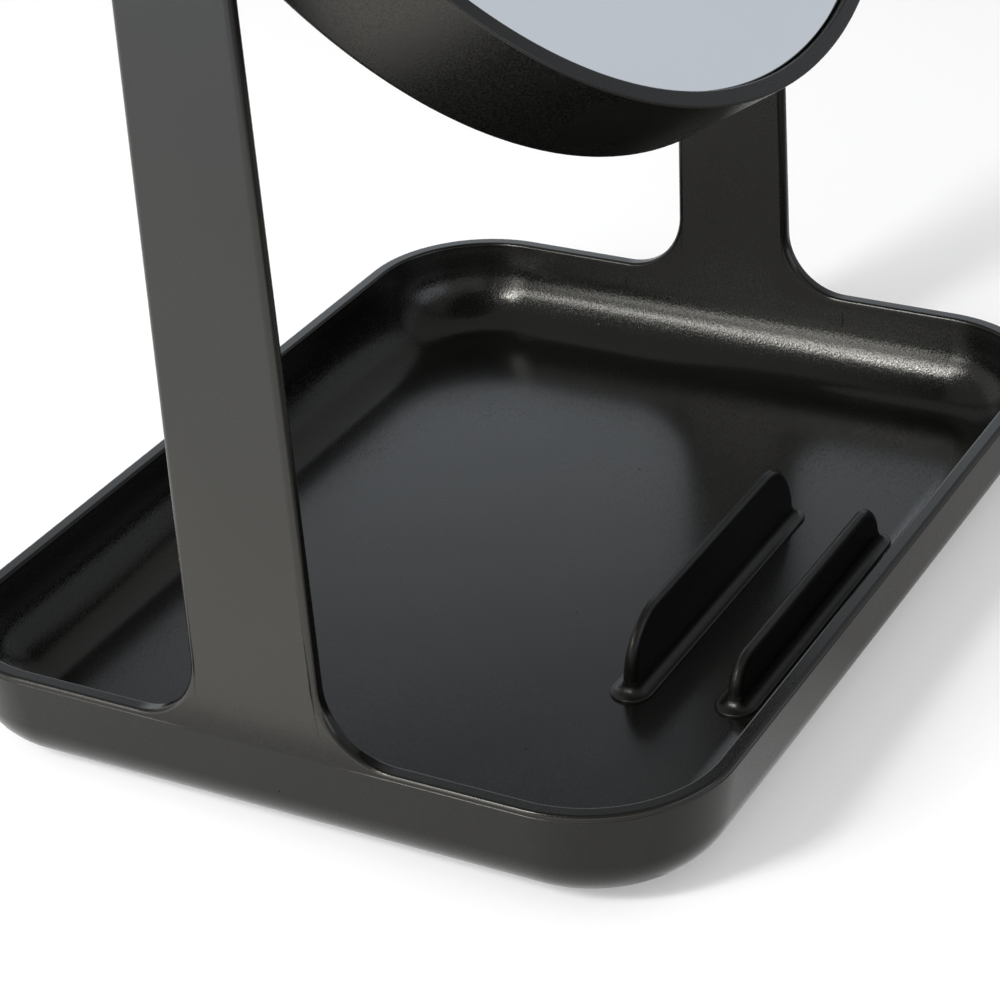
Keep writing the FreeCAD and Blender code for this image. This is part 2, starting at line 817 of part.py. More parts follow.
def makeCap(side):
    inside = f"{head} + dims.cap_clearance"
    outside = f"{inside} + dims.cap_wall"
    ceiling = "dims.cap_end - dims.cap_wall"
    body = turnedBody(
        f"screw_cap_{side}", "X_Axis",
        sideOf(side, [
            ("dims.spring_washer_face", inside),
            ("dims.spring_washer_face", outside),
            ("dims.cap_end", outside),
            ("dims.cap_end", "0"),
            (ceiling, "0"),
            (ceiling, inside),
        ]),
    )
    end = number("dims.cap_end")
    bevelEdges(
        body, f"cap_bevel_{side}", "dims.cap_bevel",
        lambda edge: liesAt(abs(edge.BoundBox.Center.x), end) and edge.BoundBox.XLength < slack,
    )
    return tilt(body)


# ---------------------------------------------------------------- the whole object

nodes = [makeTray()]
nodes += [makeFoot(name) for name in foot_places]
nodes += [makeFrame(), makeGlass(), makeCover()]
ring_outer = "dims.glass_radius - dims.tape_ring_margin"
nodes.append(makeTape("glass_tape_ring", f"{ring_outer} - dims.tape_ring_width", ring_outer))
nodes.append(makeTape("glass_tape_pad", "0", "dims.tape_pad_radius"))
for side in sides:
    for makePiece in (makeBush, makeInsert, makeScrew, makeSpringWasher, makeFlatWasher, makeCap):
        nodes.append(makePiece(side))
doc.recompute()

for item in doc.Objects:
    if "Invalid" in item.State or "Error" in item.State:
        raise RuntimeError(f"{item.Label} failed: {item.State}")
for node in nodes:
    if node.Shape.isNull() or not node.Shape.isValid() or len(node.Shape.Solids) != 1:
        raise RuntimeError(f"{node.Label} is not one valid solid")

os.makedirs("parts", exist_ok=True)
for node in nodes:
    node.Shape.exportStep(f"parts/{node.Label}.step")
    box = node.Shape.BoundBox
    print(f"{node.Label}: {node.Shape.Volume / 1000:.2f} cm3, z {box.ZMin:.2f} to {box.ZMax:.2f}")
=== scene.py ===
import math

import bmesh
import bpy
from mathutils import Matrix, Vector


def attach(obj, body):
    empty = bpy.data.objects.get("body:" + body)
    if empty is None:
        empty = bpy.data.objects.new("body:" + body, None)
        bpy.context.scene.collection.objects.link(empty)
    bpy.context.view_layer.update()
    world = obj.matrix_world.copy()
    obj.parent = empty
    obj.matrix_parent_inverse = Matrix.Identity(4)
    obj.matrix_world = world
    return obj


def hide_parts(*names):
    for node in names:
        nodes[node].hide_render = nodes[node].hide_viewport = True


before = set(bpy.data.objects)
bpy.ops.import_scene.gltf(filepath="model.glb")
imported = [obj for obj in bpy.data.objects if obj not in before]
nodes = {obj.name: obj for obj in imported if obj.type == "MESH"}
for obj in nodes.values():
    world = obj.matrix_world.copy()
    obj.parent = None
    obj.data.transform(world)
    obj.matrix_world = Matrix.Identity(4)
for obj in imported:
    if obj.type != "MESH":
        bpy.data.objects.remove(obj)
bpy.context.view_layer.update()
print("frame loaded:", len(nodes), "nodes")

mm = 0.001

# The tray and its two uprights are one moulding. Sizes are in mm, heights from what the feet stand on.
trayPlan = {
    "width": 190.0,
    "depth": 148.0,
    "corner": 25.5,
    "wall": 2.9,
    "bottom": 1.0,
    "floor": 3.85,
    "mouldLine": 19.8,
    "rim": 21.0,
    "draft": 8.0,  # degrees, below the mould line
    "lean": 0.57,  # degrees, above the mould line
    "bottomRadius": 10.6,
    "cove": 12.5,
    "rimRound": 0.6,
    "mouldStep": 0.16,  # height of the ledge's slope
    "mouldLedge": 0.13,  # how far the lower half of the mould stands out
    "ledgeRound": 0.3,  # share of the slope in each of its roundings
    "ledgeMiddle": 0.35,  # share of the ledge that the slope has covered half way up
    "ledgeFade": 12.0,  # how far into an upright's root the ledge fades out
    "matteAndPaintedLightFrom": 18.0,  # from here up to the rim the walls' inner faces turn matte, and their colour is lightened as painted soft light
}
uprightPlan = {
    "pivot": 183.0,
    "endRadius": 10.0,
    "taper": 0.8,  # degrees on each edge
    "root": 12.5,
    "edgeRound": 1.2,
}
# how many steps each part of the moulding's skin is drawn in
meshSteps = {
    "corner": 28,
    "straight": 10,
    "root": 14,
    "edge": 30,
    "edgeBunching": 0.8,  # below 1 the steps are shorter towards the top
    "end": 18,
    "bottomArc": 9,
    "rimArc": 6,
    "coveArc": 12,
    "wallRows": 3,
}


def tangent(degrees):
    return math.tan(math.radians(degrees))


def sweep(count, first=0.0, last=1.0):
    return [first + (last - first) * i / count for i in range(count + 1)]


def makeObject(name, mesh):
    piece = bpy.data.objects.new(name, mesh)
    bpy.context.scene.collection.objects.link(piece)
    return piece


def joinedLoops(loops):
    # closed loops with the same count of points, joined one to the next and capped at both ends
    count = len(loops[0])
    vertices = [point for loop in loops for point in loop]
    last = len(vertices) - count
    faces = []
    for low in range(0, last, count):
        high = low + count
        for here in range(count):
            after = (here + 1) % count
            faces.append((low + here, low + after, high + after, high + here))
    faces.append(tuple(reversed(range(count))))
    faces.append(tuple(last + here for here in range(count)))
    return vertices, faces


def makeMesh(name, vertices, faces):
    mesh = bpy.data.meshes.new(name)
    mesh.from_pydata(vertices, [], faces)
    mesh.validate()
    return mesh


def smoothWeighted(piece, sharpAngle=35.0):
    # large faces keep their flat shading and only the roundings turn
    piece.data.shade_smooth()
    piece.data.set_sharp_from_angle(angle=math.radians(sharpAngle))
    weighted = piece.modifiers.new("weighted", "WEIGHTED_NORMAL")
    weighted.keep_sharp = True
    weighted.mode = "FACE_AREA"
    bpy.context.view_layer.update()
    depsgraph = bpy.context.evaluated_depsgraph_get()
    baked = bpy.data.meshes.new_from_object(piece.evaluated_get(depsgraph))
    piece.modifiers.remove(weighted)
    baked.name = piece.data.name
    piece.data = baked
    return piece


# The moulding's skin is one closed grid that runs from under the tray, over the rim and the uprights,
# and down into the tray. Each column of it is one place round the plan.

def sideOutline():
    # half of an upright seen along the pivot axis, from the rim to the top: for each column
    # (along, height), the outward direction there, where it starts on the mould line and its rounding
    plan, upright = trayPlan, uprightPlan
    taper, root, radius = upright["taper"], upright["root"], upright["endRadius"]
    reach = radius + root + (upright["pivot"] - plan["rim"]) * tangent(taper)
    points = []
    for share in sweep(meshSteps["root"])[1:]:
        turn = math.radians(270.0 + (taper - 90.0) * share)
        along = reach + root * math.cos(turn)
        height = plan["rim"] + root + root * math.sin(turn)
        rounding = plan["rimRound"] + (upright["edgeRound"] - plan["rimRound"]) * share
        points.append(((along, height), (-math.cos(turn), -math.sin(turn)), along, rounding))
    edgeFoot = points[-1][0]
    outward = (math.cos(math.radians(taper)), math.sin(math.radians(taper)))
    edgeTop = (radius * outward[0], upright["pivot"] + radius * outward[1])
    upper = meshSteps["edge"] + meshSteps["end"]
    for step in range(1, meshSteps["edge"] + 1):
        share = (step / meshSteps["edge"]) ** meshSteps["edgeBunching"]
        along = edgeFoot[0] + (edgeTop[0] - edgeFoot[0]) * share
        height = edgeFoot[1] + (edgeTop[1] - edgeFoot[1]) * share
        points.append(((along, height), outward, edgeFoot[0] * (1 - step / upper), upright["edgeRound"]))
    for step, angle in enumerate(sweep(meshSteps["end"], taper, 90.0)[1:], start=1):
        turn = math.radians(angle)
        place = (radius * math.cos(turn), upright["pivot"] + radius * math.sin(turn))
        base = edgeFoot[0] * (1 - (meshSteps["edge"] + step) / upper)
        points.append((place, (math.cos(turn), math.sin(turn)), base, upright["edgeRound"]))
    return reach, points


def trayColumns():
    # each column has the middle that it is measured from and its outward direction, where it meets the
    # mould line and how much of the ledge it has there, and where and how it ends at the top
    plan = trayPlan
    halfWide, halfDeep, corner = plan["width"] / 2, plan["depth"] / 2, plan["corner"]
    reach, outline = sideOutline()
    columns = []

    def addColumn(middle, out, base=0.0, top=None, outward=(0.0, 1.0), rounding=plan["rimRound"]):
        intoRoot = 0.0 if top is None else reach - abs(base)
        columns.append({
            "middle": middle,
            "out": out,
            "base": base,
            "ledge": max(0.0, 1.0 - intoRoot / plan["ledgeFade"]),
            "top": top or (base, plan["rim"]),
            "outward": outward,
            "rounding": rounding,
        })

    def side(sign):
        # the right wall from front to back, or the left wall from back to front
        end = halfDeep - corner
        middle, out = (sign * (halfWide - corner), 0.0), (sign, 0.0)
        for along in sweep(meshSteps["straight"], -end, -reach):
            addColumn(middle, out, sign * along)
        for (along, height), (across, up), base, rounding in outline:
            addColumn(middle, out, -sign * base, (-sign * along, height), (-sign * across, up), rounding)
        for (along, height), (across, up), base, rounding in reversed(outline[:-1]):
            addColumn(middle, out, sign * base, (sign * along, height), (sign * across, up), rounding)
        for along in sweep(meshSteps["straight"], reach, end):
            addColumn(middle, out, sign * along)

    def cornerRun(xSign, ySign, start):
        middle = (xSign * (halfWide - corner), ySign * (halfDeep - corner))
        for angle in sweep(meshSteps["corner"], start, start + 90.0)[1:-1]:
            turn = math.radians(angle)
            addColumn(middle, (math.cos(turn), math.sin(turn)))

    def endRun(ySign):
        # the back wall from right to left, or the front wall from left to right
        for along in sweep(meshSteps["straight"] * 3, halfWide - corner, corner - halfWide):
            addColumn((ySign * along, ySign * (halfDeep - corner)), (0.0, ySign))

    side(1)
    cornerRun(1, 1, 0.0)
    endRun(1)
    cornerRun(-1, 1, 90.0)
    side(-1)
    cornerRun(-1, -1, 180.0)
    endRun(-1)
    cornerRun(1, -1, 270.0)
    return columns


def traySection(column):
    # one column's points, from under the tray to the edge of its floor: place, normal, polish and the share
    # of matte finish with painted light
    plan = trayPlan
    corner, wall, mould = plan["corner"], plan["wall"], plan["mouldLine"]
    lean, draft = tangent(plan["lean"]), math.radians(plan["draft"])
    middle, out, base, top = column["middle"], column["out"], column["base"], column["top"]
    alongAxis = Vector((0.0, 1.0, 0.0))
    outAxis, upAxis = Vector((*out, 0.0)), Vector((0.0, 0.0, 1.0))
    leaning = (outAxis - upAxis * lean).normalized()
    points = []
    polish, matteAndPaintedLight = 1.0, 0.0

    def add(shift, height, inset, normal):
        place = Vector((*middle, height)) + outAxis * (corner - inset) + alongAxis * shift
        points.append((place * mm, normal.normalized(), polish, matteAndPaintedLight))

    # under the tray and up the drafted wall
    radius = plan["bottomRadius"]
    arcInset = (mould - plan["bottom"] - radius) * math.tan(draft) + radius / math.cos(draft)
    arcHeight = plan["bottom"] + radius
    for angle in sweep(meshSteps["bottomArc"], 270.0, 360.0 - plan["draft"]):
        turn = math.radians(angle)
        normal = outAxis * math.cos(turn) + upAxis * math.sin(turn)
        add(base, arcHeight + radius * math.sin(turn), arcInset - radius * math.cos(turn), normal)
    drafted = outAxis * math.cos(draft) - upAxis * math.sin(draft)
    step = plan["mouldStep"]
    for share in sweep(meshSteps["wallRows"])[1:]:
        height = arcHeight + (mould - step - arcHeight) * share
        add(base, height, (mould - height) * math.tan(draft), drafted)
    # the mould line: a fine ledge where the halves of the mould met, which fades out on the uprights
    ledge = plan["mouldLedge"] * column["ledge"]
    tilt = upAxis * column["ledge"]
    soft = plan["ledgeRound"]
    add(base, mould - step * soft, 0.0, drafted + tilt * soft)
    add(base, mould, ledge * plan["ledgeMiddle"], drafted * (1.0 - soft) + tilt)
    add(base, mould + step * soft, ledge, leaning + tilt * soft)
    add(base, mould + step, ledge, leaning)

    # up to the rounded edge, over it and down the inside
    rounding = column["rounding"]
    across, rise = column["outward"]
    edge = alongAxis * across + upAxis * rise
    start = (top[0] - rounding * across, top[1] - rounding * rise)

    def onWall(shift, height, thickness, normal):
        add(shift, height, thickness - (height - mould) * lean, normal)

    first = mould + 2.0 * step
    for share in sweep(meshSteps["wallRows"] + 1):
        inset = ledge * (1.0 - share)
        onWall(base + (start[0] - base) * share, first + (start[1] - first) * share, inset, leaning)
    for angle in sweep(meshSteps["rimArc"], 0.0, 90.0)[1:]:
        turn = math.radians(angle)
        lift, sunk = rounding * math.sin(turn), rounding * (1 - math.cos(turn))
        normal = leaning * math.cos(turn) + edge * math.sin(turn)
        onWall(start[0] + across * lift, start[1] + rise * lift, sunk, normal)
    for angle in sweep(meshSteps["rimArc"], 90.0, 0.0):
        turn = math.radians(angle)
        lift, sunk = rounding * math.sin(turn), rounding * (1 - math.cos(turn))
        normal = edge * math.sin(turn) - leaning * math.cos(turn)
        onWall(start[0] + across * lift, start[1] + rise * lift, wall - sunk, normal)
    coveTop = plan["floor"] + plan["cove"]
    for share in sweep(meshSteps["wallRows"] + 2, 1.0, 0.0)[1:]:
        shift = base + (start[0] - base) * share
        height = coveTop + (start[1] - coveTop) * share
        polish = 0.0
        # the matte finish and the painted light rise together from matteAndPaintedLightFrom up to the rim
        matteAndPaintedLight = min(1.0, max(0.0, (height - plan["matteAndPaintedLightFrom"]) / (plan["rim"] - plan["matteAndPaintedLightFrom"])))
        onWall(shift, height, wall, -leaning)

    # the cove, down to the floor
    faceInset = wall + (mould - coveTop) * lean
    for angle in sweep(meshSteps["coveArc"], 0.0, 90.0)[1:]:
        turn = math.radians(angle)
        polish = math.sin(turn) ** 2
        normal = upAxis * math.sin(turn) - outAxis * math.cos(turn)
        inset = faceInset + plan["cove"] * (1 - math.cos(turn))
        add(base, coveTop - plan["cove"] * math.sin(turn), inset, normal)
    return points


def makeTraySkin():
    # the columns turned into loops round the plan; polish tells the plastic where it is smoother, and the
    # matte share where it is matte and lightened with painted light
    loops = list(zip(*[traySection(column) for column in trayColumns()]))
    points = [point for loop in loops for point in loop]
    mesh = makeMesh("trayBody", *joinedLoops([[point[0] for point in loop] for loop in loops]))
    mesh.shade_smooth()
    mesh.normals_split_custom_set_from_vertices([point[1] for point in points])
    for name, part in (("polish", 2), ("matteAndPaintedLight", 3)):
        values = [point[part] for point in points]
        mesh.attributes.new(name, "FLOAT", "POINT").data.foreach_set("value", values)
    return mesh


# Two fins make the phone slot: each is a blade with rounded edges, on a low foot with a root radius.
slotFins = {
    "thick": 3.1,
    "draft": 2.6,  # degrees on each face
    "edgeRound": 1.3,
    "footMargin": 2.4,
    "footHeight": 0.55,
    "footRound": 0.4,
    "footCorner": 0.9,  # the blade's corner in plan
    "footCornerGrowth": 1.25,  # and how fast it grows towards the foot's rim
    "footSunk": 0.3,  # how far the foot goes into the floor
    "rootRound": 2.0,
    "rootTuck": 0.04,  # the root radius ends this far inside the blade
    "plugRise": 0.2,  # the foot's hidden top, inside the blade
    "plugInset": 0.3,
    "bladeStart": 2.0,  # height of the second point of the blade's ends
    "bladeSunk": 0.2,  # the blade's hidden lower edge: under the floor, drawn in and shortened
    "bladeTuck": 3.0,
    "bladePinch": 0.98,
    "rear": {"across": -1.0, "along": -37.7, "length": 69.6, "height": 13.9, "shoulder": 10.8},
    "front": {"across": -0.8, "along": -56.5, "length": 63.8, "height": 9.2, "shoulder": 6.6},
}
# how many steps each part of a fin is drawn in
finSteps = {"corner": 10, "footArc": 5, "rootArc": 8, "end": 3, "shoulder": 16, "top": 6, "edgeArc": 5}


def stadium(halfLong, halfWide, radius):
    # points round a bar with rounded corners, anticlockwise from its right end
    points = []
    for xSign, ySign, start in ((1, 1, 0.0), (-1, 1, 90.0), (-1, -1, 180.0), (1, -1, 270.0)):
        for angle in sweep(finSteps["corner"], start, start + 90.0):
            turn = math.radians(angle)
            x = xSign * (halfLong - radius) + radius * math.cos(turn)
            y = ySign * (halfWide - radius) + radius * math.sin(turn)
            points.append((x, y))
    return points


def finFoot(fin):
    # loops from under the floor's skin up over the foot, and the root radius up onto the blade
    floor, footRound, rootRound = trayPlan["floor"], slotFins["footRound"], slotFins["rootRound"]
    margin, top = slotFins["footMargin"], floor + slotFins["footHeight"]
    levels = [(floor - slotFins["footSunk"], margin), (top - footRound, margin)]
    for angle in sweep(finSteps["footArc"], 0.0, 90.0)[1:]:
        turn = math.radians(angle)
        out = margin - footRound * (1 - math.cos(turn))
        levels.append((top - footRound + footRound * math.sin(turn), out))
    for angle in sweep(finSteps["rootArc"], 270.0, 180.0):
        turn = math.radians(angle)
        out = rootRound * (1 + math.cos(turn)) - slotFins["rootTuck"]
        levels.append((top + rootRound * (1 + math.sin(turn)), out))
    levels.append((top + rootRound + slotFins["plugRise"], -slotFins["plugInset"]))
    loops = []
    for height, out in levels:
        wide = slotFins["thick"] / 2 + out - (height - floor) * tangent(slotFins["draft"])
        corner = min(wide, slotFins["footCorner"] + max(out, 0.0) * slotFins["footCornerGrowth"])
        flat = stadium(fin["length"] / 2 + out, wide, corner)
        loops.append([((fin["across"] + x) * mm, (fin["along"] + y) * mm, height * mm) for x, y in flat])
    return loops


def bladeOutline(fin):
    # one end and half the top as points with their outward directions, then the same mirrored
    halfLong, shoulder = fin["length"] / 2, fin["shoulder"]
    floor = trayPlan["floor"]
    top = floor + fin["height"]
    outline = [((halfLong, floor), (1.0, 0.0))]
    for height in sweep(finSteps["end"], floor + slotFins["bladeStart"], top - shoulder)[:-1]:
        outline.append(((halfLong, height), (1.0, 0.0)))
    for angle in sweep(finSteps["shoulder"], 0.0, 90.0):
        turn = math.radians(angle)
        outward = (math.cos(turn), math.sin(turn))
        place = (halfLong - shoulder + shoulder * outward[0], top - shoulder + shoulder * outward[1])
        outline.append((place, outward))
    for across in sweep(finSteps["top"], halfLong - shoulder, 0.0)[1:]:
        outline.append(((across, top), (0.0, 1.0)))
    return outline + [((-x, z), (-outX, outZ)) for (x, z), (outX, outZ) in reversed(outline[:-1])]


def finBlade(fin):
    # an open strip from end to end; every column crosses the blade's rounded edge
    floor, radius = trayPlan["floor"], slotFins["edgeRound"]

    def point(side, x, z, sunk):
        half = slotFins["thick"] / 2 - (z - floor) * tangent(slotFins["draft"]) - sunk
        return (fin["across"] + x) * mm, (fin["along"] + side * half) * mm, z * mm

    columns = []
    for (x, z), (outX, outZ) in bladeOutline(fin):
        under = x * slotFins["bladePinch"] - outX * slotFins["bladeTuck"]
        hidden = (under, floor - slotFins["bladeSunk"], 0.0)
        column = [point(-1, *hidden)]
        for side, first, last in ((-1, 0.0, 90.0), (1, 90.0, 0.0)):
            for angle in sweep(finSteps["edgeArc"], first, last):
                turn = math.radians(angle)
                back = radius * (1 - math.sin(turn))
                column.append(point(side, x - outX * back, z - outZ * back, radius * (1 - math.cos(turn))))
        column.append(point(1, *hidden))
        columns.append(column)
    count = len(columns[0])
    faces = []
    for left in range(0, (len(columns) - 1) * count, count):
        right = left + count
        for here in range(count - 1):
            faces.append((left + here, left + here + 1, right + here + 1, right + here))
    return [place for column in columns for place in column], faces


def makeFin(name, fin):
    vertices, faces = joinedLoops(finFoot(fin))
    bladeVertices, bladeFaces = finBlade(fin)
    start = len(vertices)
    faces += [tuple(start + corner for corner in face) for face in bladeFaces]
    return makeObject(name, makeMesh(name, vertices + bladeVertices, faces))


# Witness marks are fine ribs down the inside of the side walls, where the mould's inserts met.
witnessMark = {
    "along": 24.9,
    "from": 14.6,
    "to": 18.2,
    "half": 0.22,
    "endShare": 0.4,  # share of the width that is left at the ends
    "proud": 0.14,
    "sunk": 0.05,
    "fullness": 0.5,  # below 1 the rib keeps its height further towards its ends
    "steps": 6,
}


def makeWitnessMarks():
    plan, mark = trayPlan, witnessMark
    coveTop = plan["floor"] + plan["cove"]
    vertices, faces = [], []
    for side in (-1, 1):
        for end in (-1, 1):
            first = len(vertices)
            for share in sweep(mark["steps"]):
                height = mark["from"] + (mark["to"] - mark["from"]) * share
                fall = max(0.0, coveTop - height)
                inset = plan["wall"] + plan["cove"] - math.sqrt(plan["cove"] ** 2 - fall ** 2)
                inset -= (height - plan["mouldLine"]) * tangent(plan["lean"])
                taper = math.sin(math.pi * share) ** mark["fullness"]
                half = mark["half"] * (mark["endShare"] + (1.0 - mark["endShare"]) * taper)
                for across, lift in ((-1, -mark["sunk"]), (0, mark["proud"] * taper), (1, -mark["sunk"])):
                    x = side * (plan["width"] / 2 - inset - lift)
                    y = end * mark["along"] + across * half
                    vertices.append((x * mm, y * mm, height * mm))
            # each step is two faces, between rows of three points
            for low in range(first, len(vertices) - 3, 3):
                for here in (low, low + 1):
                    face = (here, here + 1, here + 4, here + 3)
                    faces.append(face if side > 0 else tuple(reversed(face)))
    mesh = makeMesh("witnessMarks", vertices, faces)
    mesh.shade_smooth()
    return makeObject("witnessMarks", mesh)


# Round pieces: a Geometry Nodes tree turns a profile of (radius, height) points about Z.
latheSteps = {"disc": 288, "pivot": 72, "foot": 64, "arc": 7}  # round each kind of piece, and in a rounding
weldWithin = 0.000001  # metres: the turned profile's seam and poles are welded
shortestEdge = 0.0000005  # metres: shorter edges are dissolved


def makeLatheTree():
    tree = bpy.data.node_groups.new("latheRound", "GeometryNodeTree")
    face = tree.interface
    face.new_socket("Profile", in_out="INPUT", socket_type="NodeSocketGeometry")
    face.new_socket("Segments", in_out="INPUT", socket_type="NodeSocketInt")
    face.new_socket("Finish", in_out="INPUT", socket_type="NodeSocketMaterial")
    face.new_socket("Round", in_out="OUTPUT", socket_type="NodeSocketGeometry")
    add, link = tree.nodes.new, tree.links.new
    given = add("NodeGroupInput")
    result = add("NodeGroupOutput")

    size = add("GeometryNodeAttributeDomainSize")
    link(given.outputs["Profile"], size.inputs["Geometry"])
    turns = add("FunctionNodeIntegerMath")
    turns.operation = "ADD"
    link(given.outputs["Segments"], turns.inputs[0])
    turns.inputs[1].default_value = 1
    grid = add("GeometryNodeMeshGrid")
    link(turns.outputs[0], grid.inputs["Vertices X"])
    link(size.outputs["Point Count"], grid.inputs["Vertices Y"])

    index = add("GeometryNodeInputIndex")
    column = add("FunctionNodeIntegerMath")
    column.operation = "MODULO"
    link(index.outputs[0], column.inputs[0])
    link(size.outputs["Point Count"], column.inputs[1])
    row = add("FunctionNodeIntegerMath")
    row.operation = "DIVIDE_FLOOR"
    link(index.outputs[0], row.inputs[0])
    link(size.outputs["Point Count"], row.inputs[1])

    sample = add("GeometryNodeSampleIndex")
    sample.data_type = "FLOAT_VECTOR"
    place = add("GeometryNodeInputPosition")
    link(given.outputs["Profile"], sample.inputs["Geometry"])
    link(place.outputs[0], sample.inputs["Value"])
    link(column.outputs[0], sample.inputs["Index"])
    parts = add("ShaderNodeSeparateXYZ")
    link(sample.outputs["Value"], parts.inputs[0])

    share = add("ShaderNodeMath")
    share.operation = "DIVIDE"
    link(row.outputs[0], share.inputs[0])
    link(given.outputs["Segments"], share.inputs[1])
    angle = add("ShaderNodeMath")
    angle.operation = "MULTIPLY"
    link(share.outputs[0], angle.inputs[0])
    angle.inputs[1].default_value = math.tau
    turned = []
    for operation in ("COSINE", "SINE"):
        wave = add("ShaderNodeMath")
        wave.operation = operation
        link(angle.outputs[0], wave.inputs[0])
        scaled = add("ShaderNodeMath")
        scaled.operation = "MULTIPLY"
        link(wave.outputs[0], scaled.inputs[0])
        link(parts.outputs["X"], scaled.inputs[1])
        turned.append(scaled)
    point = add("ShaderNodeCombineXYZ")
    link(turned[0].outputs[0], point.inputs["X"])
    link(turned[1].outputs[0], point.inputs["Y"])
    link(parts.outputs["Z"], point.inputs["Z"])

    move = add("GeometryNodeSetPosition")
    link(grid.outputs["Mesh"], move.inputs["Geometry"])
    link(point.outputs[0], move.inputs["Position"])
    weld = add("GeometryNodeMergeByDistance")
    link(move.outputs[0], weld.inputs["Geometry"])
    weld.inputs["Distance"].default_value = weldWithin
    realize = add("GeometryNodeRealizeInstances")
    link(weld.outputs[0], realize.inputs[0])
    dress = add("GeometryNodeSetMaterial")
    link(realize.outputs[0], dress.inputs["Geometry"])
    link(given.outputs["Finish"], dress.inputs["Material"])
    link(dress.outputs[0], result.inputs[0])
    return tree


def makeRepeatTree(latheTree):
    # the same lathe, set down at the corners of a rectangle
    tree = bpy.data.node_groups.new("latheAtCorners", "GeometryNodeTree")
    face = tree.interface
    face.new_socket("Profile", in_out="INPUT", socket_type="NodeSocketGeometry")
    face.new_socket("Segments", in_out="INPUT", socket_type="NodeSocketInt")
    face.new_socket("Finish", in_out="INPUT", socket_type="NodeSocketMaterial")
    face.new_socket("Across", in_out="INPUT", socket_type="NodeSocketFloat")
    face.new_socket("Along", in_out="INPUT", socket_type="NodeSocketFloat")
    face.new_socket("Rounds", in_out="OUTPUT", socket_type="NodeSocketGeometry")
    add, link = tree.nodes.new, tree.links.new
    given = add("NodeGroupInput")
    result = add("NodeGroupOutput")
    lathe = add("GeometryNodeGroup")
    lathe.node_tree = latheTree
    for name in ("Profile", "Segments", "Finish"):
        link(given.outputs[name], lathe.inputs[name])
    corners = add("GeometryNodeMeshGrid")
    corners.inputs["Vertices X"].default_value = 2
    corners.inputs["Vertices Y"].default_value = 2
    link(given.outputs["Across"], corners.inputs["Size X"])
    link(given.outputs["Along"], corners.inputs["Size Y"])
    copies = add("GeometryNodeInstanceOnPoints")
    link(corners.outputs["Mesh"], copies.inputs["Points"])
    link(lathe.outputs[0], copies.inputs["Instance"])
    realize = add("GeometryNodeRealizeInstances")
    link(copies.outputs[0], realize.inputs[0])
    dress = add("GeometryNodeSetMaterial")
    link(realize.outputs[0], dress.inputs["Geometry"])
    link(given.outputs["Finish"], dress.inputs["Material"])
    link(dress.outputs[0], result.inputs[0])
    return tree


latheTree = makeLatheTree()
repeatTree = makeRepeatTree(latheTree)


def roundedProfile(corners):
    # corners are (radius, height, rounding); the result has each corner replaced by its arc
    points = []
    count = len(corners)
    for number, (radius, height, rounding) in enumerate(corners):
        if rounding <= 0.0:
            points.append((radius, height))
            continue
        here = Vector((radius, height))
        before = (Vector(corners[number - 1][:2]) - here).normalized()
        after = (Vector(corners[(number + 1) % count][:2]) - here).normalized()
        half = before.angle(after) / 2
        reach = rounding / math.tan(half)
        centre = here + (before + after).normalized() * (rounding / math.sin(half))
        first = (here + before * reach) - centre
        last = (here + after * reach) - centre
        for share in sweep(latheSteps["arc"]):
            points.append(tuple(centre + first.slerp(last, share).normalized() * rounding))
    return points


def lathe(name, points, finish, segments, corners=None, place=None):
    # profile in mm to a plain mesh in metres, turned by the tree above and then put in its place
    mesh = bpy.data.meshes.new(name + "Profile")
    path = [(radius * mm, 0.0, height * mm) for radius, height in points]
    mesh.from_pydata(path, [(here, here + 1) for here in range(len(path) - 1)], [])
    worker = makeObject(name + "Profile", mesh)
    turner = worker.modifiers.new("turner", "NODES")
    tree = repeatTree if corners else latheTree
    turner.node_group = tree
    sockets = {item.name: item.identifier for item in tree.interface.items_tree if item.in_out == "INPUT"}
    turner[sockets["Segments"]] = segments
    turner[sockets["Finish"]] = finish
    if corners:
        turner[sockets["Across"]] = corners[0] * mm
        turner[sockets["Along"]] = corners[1] * mm
    bpy.context.view_layer.update()
    depsgraph = bpy.context.evaluated_depsgraph_get()
    made = bpy.data.meshes.new_from_object(worker.evaluated_get(depsgraph))
    worker.modifiers.remove(turner)
    bpy.data.objects.remove(worker)
    made.name = name
    if place:
        made.transform(place)
    tool = bmesh.new()
    tool.from_mesh(made)
    bmesh.ops.dissolve_degenerate(tool, dist=shortestEdge, edges=tool.edges)
    bmesh.ops.recalc_face_normals(tool, faces=tool.faces)
    tool.to_mesh(made)
    tool.free()
    return makeObject(name, made)


# Finishes: every look gives sizes in mm and colours as linear red, green and blue.

def newMaterial(name):
    material = bpy.data.materials.new(name)
    material.use_nodes = True
    material.node_tree.nodes.clear()
    tree = material.node_tree
    shader = tree.nodes.new("ShaderNodeBsdfPrincipled")
    output = tree.nodes.new("ShaderNodeOutputMaterial")
    tree.links.new(shader.outputs[0], output.inputs[0])
    place = tree.nodes.new("ShaderNodeTexCoord").outputs["Object"]
    return material, tree, shader, place


def noise(tree, place, size, detail=2.0, roughness=0.5):
    # size is the width of one lump in mm
    node = tree.nodes.new("ShaderNodeTexNoise")
    node.inputs["Scale"].default_value = 1.0 / (size * mm)
    node.inputs["Detail"].default_value = detail
    node.inputs["Roughness"].default_value = roughness
    tree.links.new(place, node.inputs["Vector"])
    return node.outputs[0]


def spread(tree, value, low, high, fromLow=0.3, fromHigh=0.7):
    node = tree.nodes.new("ShaderNodeMapRange")
    for name, number in (("From Min", fromLow), ("From Max", fromHigh), ("To Min", low), ("To Max", high)):
        node.inputs[name].default_value = number
    tree.links.new(value, node.inputs["Value"])
    return node.outputs["Result"]


